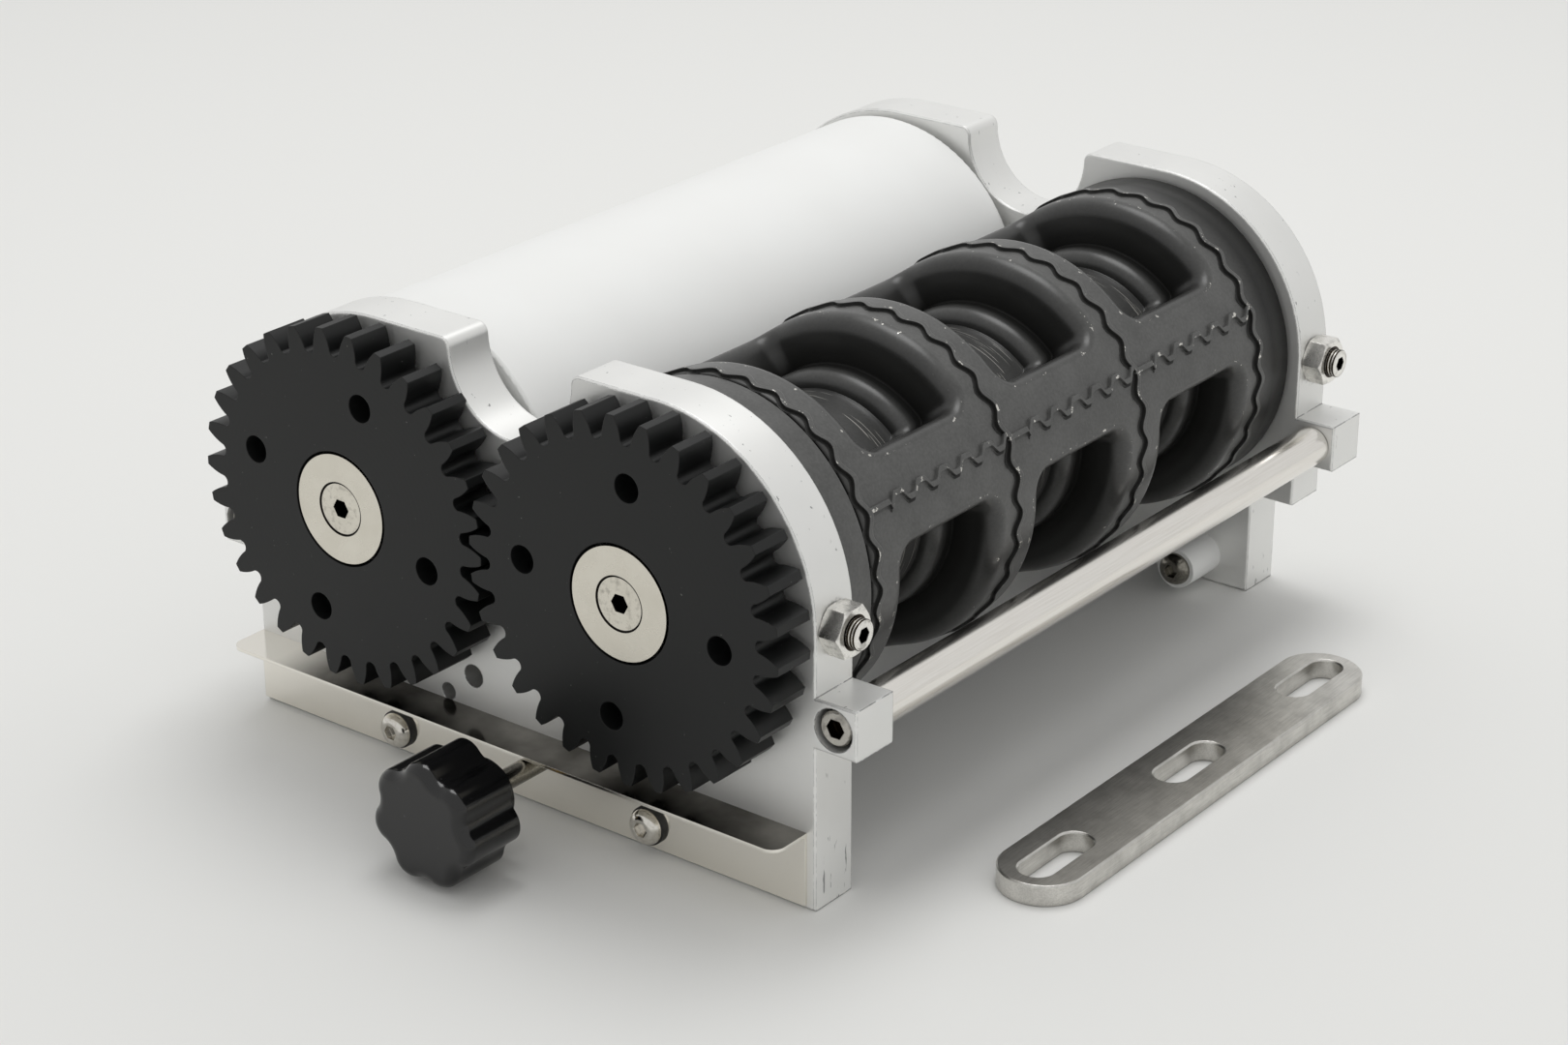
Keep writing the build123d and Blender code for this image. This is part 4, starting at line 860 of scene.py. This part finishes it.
def seamRidges():
    sizes = {
        "Radius": dieRoller["radius"] * mm, "Height": ridge["height"] * mm, "Root": ridge["root"] * mm,
        "Reach": ridge["seamReach"] * mm, "Swing": ridge["seamSwing"] * mm,
        "Dip": -ridge["seamSwing"] * mm, "Pitch": ridge["seamPitch"] * mm, "Rise": ridge["seamRise"],
        "Fall": ridge["seamFall"], "Valley": ridge["seamValley"], "Length": dieRoller["lanePitch"] * mm,
        "Lead": ridge["seamLead"] * mm,
        "First": (laneMiddle - dieRoller["lanePitch"] * dieRoller["lanes"] / 2) * mm,
        "Rows": dieRoller["rows"], "Lanes": dieRoller["lanes"],
        "Turn": math.radians(dieRoller["seamTurn"]), "Axis": (dieAxis.x, 0.0, dieAxis.z)}
    tree, inputs = startTree("sawtoothSeams", sizes)
    strip, along, side, lift, edge, grimeAndShade = ridgeStrip(tree, inputs, ridge["seamSteps"] + 1)
    # both ends are drawn together to a point, so that the strip is closed
    fromEnd = addNode(tree, "ShaderNodeMath", {0: along, 1: 0.5}, operation="SUBTRACT")
    fromEnd = addNode(tree, "ShaderNodeMath", {0: fromEnd}, operation="ABSOLUTE")
    whole = addNode(tree, "ShaderNodeMath", {0: fromEnd, 1: ridge["endShare"]}, operation="LESS_THAN")
    side = addNode(tree, "ShaderNodeMath", {0: side, 1: whole}, operation="MULTIPLY")
    lift = addNode(tree, "ShaderNodeMath", {0: lift, 1: whole}, operation="MULTIPLY")
    lane = addNode(tree, "ShaderNodeMath", {0: along, 1: inputs["Length"]}, operation="MULTIPLY")
    # one tooth after a straight lead: a steep climb, a rounded top, a quick fall and a short valley
    past = addNode(tree, "ShaderNodeMath", {0: lane, 1: inputs["Lead"]}, operation="SUBTRACT")
    share = addNode(tree, "ShaderNodeMath", {0: past, 1: inputs["Pitch"]}, operation="DIVIDE")
    tooth = addNode(tree, "ShaderNodeMath", {0: share}, operation="FRACT")
    climb = addNode(tree, "ShaderNodeMapRange", {
        "Value": tooth, "From Min": 0.0, "From Max": inputs["Rise"], "To Min": -1.0, "To Max": 1.0},
        interpolation_type="SMOOTHSTEP")
    fall = addNode(tree, "ShaderNodeMapRange", {
        "Value": tooth, "From Min": inputs["Fall"], "From Max": inputs["Valley"], "To Min": 0.0,
        "To Max": -2.0}, interpolation_type="SMOOTHSTEP")
    zigzag = addNode(tree, "ShaderNodeMath", {0: climb, 1: fall}, operation="ADD")
    begun = addNode(tree, "ShaderNodeMath", {0: past, 1: 0.0}, operation="GREATER_THAN")
    swing = addNode(tree, "ShaderNodeMath", {0: zigzag, 1: begun}, operation="MULTIPLY")
    swing = addNode(tree, "ShaderNodeMath", {0: swing, 1: inputs["Swing"]}, operation="MULTIPLY")
    shift = addNode(tree, "ShaderNodeMath", {0: swing, 1: side}, operation="ADD")
    turn = addNode(tree, "ShaderNodeMath", {0: shift, 1: inputs["Radius"]}, operation="DIVIDE")
    # the climb and the top are worn bright with bare chips; the valley is painted dark as shadow
    worn = addNode(tree, "ShaderNodeMapRange", {
        "Value": tooth, "From Min": inputs["Fall"], "From Max": inputs["Valley"], "To Min": 1.2,
        "To Max": 0.2})
    edge = addNode(tree, "ShaderNodeMath", {0: edge, 1: worn}, operation="MULTIPLY")
    low = addNode(tree, "ShaderNodeMapRange", {
        "Value": swing, "From Min": 0.0, "From Max": inputs["Swing"], "To Min": 0.3, "To Max": 0.0})
    low = addNode(tree, "ShaderNodeMapRange", {
        "Value": swing, "From Min": 0.0, "From Max": inputs["Dip"], "To Min": low, "To Max": 1.0})
    grimeAndShade = addNode(tree, "ShaderNodeMath", {0: grimeAndShade, 1: low}, operation="MULTIPLY")
    seam = wrapStrip(tree, inputs, strip, turn, lift, lane, edge, grimeAndShade)
    start = addNode(tree, "ShaderNodeCombineXYZ", {"Y": inputs["First"]})
    gap = addNode(tree, "ShaderNodeCombineXYZ", {"Y": inputs["Length"]})
    lanes = addNode(tree, "GeometryNodeMeshLine", {
        "Count": inputs["Lanes"], "Start Location": start, "Offset": gap})
    row = addNode(tree, "GeometryNodeInstanceOnPoints", {"Points": lanes, "Instance": seam})
    spots = addNode(tree, "GeometryNodePoints", {"Count": inputs["Rows"], "Position": (0, 0, 0)})
    number = addNode(tree, "GeometryNodeInputIndex")
    step = addNode(tree, "ShaderNodeMath", {0: 2 * math.pi, 1: inputs["Rows"]}, operation="DIVIDE")
    angle = addNode(tree, "ShaderNodeMath", {
        0: number, 1: step, 2: inputs["Turn"]}, operation="MULTIPLY_ADD")
    back = addNode(tree, "ShaderNodeMath", {0: angle, 1: -1.0}, operation="MULTIPLY")
    spin = addNode(tree, "ShaderNodeCombineXYZ", {"Y": back})
    rows = addNode(tree, "GeometryNodeInstanceOnPoints", {
        "Points": spots, "Instance": row, "Rotation": spin})
    endTree(tree, rows, inputs["Axis"], dieCoating)
    return growMesh("dieSeamRidges", tree, sizes)


for ridgeMesh in (ringRidges(), seamRidges()):
    piece = addMesh(ridgeMesh.name, ridgeMesh, "die", "coated_aluminium")
    print(piece.name, len(ridgeMesh.polygons), "faces")

# Threads on the adjusters' tips, outside the lock nuts (mm)
thread = {"radius": 3.95, "depth": 0.32, "pitch": 0.95, "turns": 3, "roundSteps": 40, "crestSteps": 8}


def adjusterThreads():
    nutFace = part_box("adjuster_nuts")[1].x
    sizes = {
        "Radius": thread["radius"] * mm, "Depth": thread["depth"] * mm, "Pitch": thread["pitch"] * mm,
        "Turns": thread["turns"], "Round Steps": thread["roundSteps"],
        "Crest Steps": thread["crestSteps"], "Apart": nutFace + tipAt, "Length": 2 * plateAway,
        "Middle": (0.0, unitMiddle.y, dieAxis.z)}
    tree, inputs = startTree("adjusterThreads", sizes)
    path = addNode(tree, "GeometryNodeCurvePrimitiveCircle", {
        "Resolution": inputs["Round Steps"], "Radius": inputs["Radius"]})
    crest = addNode(tree, "GeometryNodeCurvePrimitiveCircle", {
        "Resolution": inputs["Crest Steps"], "Radius": inputs["Depth"]})
    ring = addNode(tree, "GeometryNodeCurveToMesh", {"Curve": path, "Profile Curve": crest})
    step = addNode(tree, "ShaderNodeCombineXYZ", {"X": inputs["Pitch"]})
    back = addNode(tree, "ShaderNodeMath", {0: inputs["Turns"], 1: 1.0}, operation="SUBTRACT")
    start = addNode(tree, "ShaderNodeMath", {0: back, 1: -0.5}, operation="MULTIPLY")
    start = addNode(tree, "ShaderNodeMath", {0: start, 1: inputs["Pitch"]}, operation="MULTIPLY")
    first = addNode(tree, "ShaderNodeCombineXYZ", {"X": start})
    line = addNode(tree, "GeometryNodeMeshLine", {
        "Count": inputs["Turns"], "Start Location": first, "Offset": step})
    tips = addNode(tree, "GeometryNodeInstanceOnPoints", {
        "Points": line, "Instance": ring, "Rotation": (0.0, math.pi / 2, 0.0)})
    corners = addNode(tree, "GeometryNodeMeshGrid", {
        "Size X": inputs["Apart"], "Size Y": inputs["Length"], "Vertices X": 2, "Vertices Y": 2})
    four = addNode(tree, "GeometryNodeInstanceOnPoints", {"Points": corners, "Instance": tips})
    endTree(tree, four, inputs["Middle"], adjusterSteel)
    return growMesh("adjusterThreads", tree, sizes)


threadMesh = adjusterThreads()
addMesh(threadMesh.name, threadMesh, "frame", "screw_steel")
print(threadMesh.name, len(threadMesh.polygons), "faces")

# Camera at the photograph's angle (mm and degrees)
cameraView = {
    "place": (566.8, -613.6, 445.7), "azimuth": 38.12, "elevation": 23.68, "roll": -0.18, "lens": 77.5,
    "sensor": 36.0, "nearest": 50, "farthest": 50000,
}


def addCamera():
    camera = bpy.data.cameras.new("photoCamera")
    camera.sensor_fit = "HORIZONTAL"
    camera.sensor_width = cameraView["sensor"]
    camera.lens = cameraView["lens"]
    camera.clip_start = cameraView["nearest"] * mm
    camera.clip_end = cameraView["farthest"] * mm
    holder = bpy.data.objects.new("photoCamera", camera)
    bpy.context.scene.collection.objects.link(holder)
    turn, rise = math.radians(cameraView["azimuth"]), math.radians(cameraView["elevation"])
    back = Vector((math.sin(turn) * math.cos(rise), -math.cos(turn) * math.cos(rise), math.sin(rise)))
    holder.rotation_mode = "QUATERNION"
    tilt = Quaternion((0, 0, 1), math.radians(cameraView["roll"]))
    holder.rotation_quaternion = (-back).to_track_quat("-Z", "Y") @ tilt
    holder.location = Vector(cameraView["place"]) * mm
    bpy.context.scene.camera = holder


addCamera()

# Floor and soft studio light (metres)
studio = {
    "floorSide": 9.0, "floorTop": -0.0002, "floorColour": "#e6e6e4", "floorRoughness": 0.6,
    "floorShine": 0.25, "worldColour": "#f5f5f4", "worldStrength": 0.79,
    "boxPlace": (-0.15, 0.4, 1.45), "boxAim": (0.0, 0.1, 0.05), "boxSize": (0.8, 0.8), "boxPower": 7.5,
}


def addFloor():
    half = studio["floorSide"] / 2
    corners = [(-half, -half, 0), (half, -half, 0), (half, half, 0), (-half, half, 0)]
    mesh = bpy.data.meshes.new("studioFloor")
    mesh.from_pydata(corners, [], [(0, 1, 2, 3)])
    floor = bpy.data.objects.new("studioFloor", mesh)
    bpy.context.scene.collection.objects.link(floor)
    floor.location.z = studio["floorTop"]
    mesh.materials.append(startMaterial("paleStudioPaper", {
        "Base Color": linear(studio["floorColour"]), "Roughness": studio["floorRoughness"],
        "Specular IOR Level": studio["floorShine"]})[0])


def addSoftbox():
    lamp = bpy.data.lights.new("overheadSoftbox", "AREA")
    lamp.shape = "RECTANGLE"
    lamp.size, lamp.size_y = studio["boxSize"]
    lamp.energy = studio["boxPower"]
    holder = bpy.data.objects.new("overheadSoftbox", lamp)
    bpy.context.scene.collection.objects.link(holder)
    holder.location = studio["boxPlace"]
    holder.rotation_mode = "QUATERNION"
    aim = Vector(studio["boxAim"]) - Vector(studio["boxPlace"])
    holder.rotation_quaternion = aim.to_track_quat("-Z", "Y")


def addWorld():
    world = bpy.data.worlds.new("softStudio")
    bpy.context.scene.world = world
    world.use_nodes = True
    feed(world.node_tree, world.node_tree.nodes["Background"], {
        "Color": linear(studio["worldColour"]), "Strength": studio["worldStrength"]})


addFloor()
addWorld()
addSoftbox()
bpy.context.scene.view_settings.view_transform = "Standard"
print("studio set")
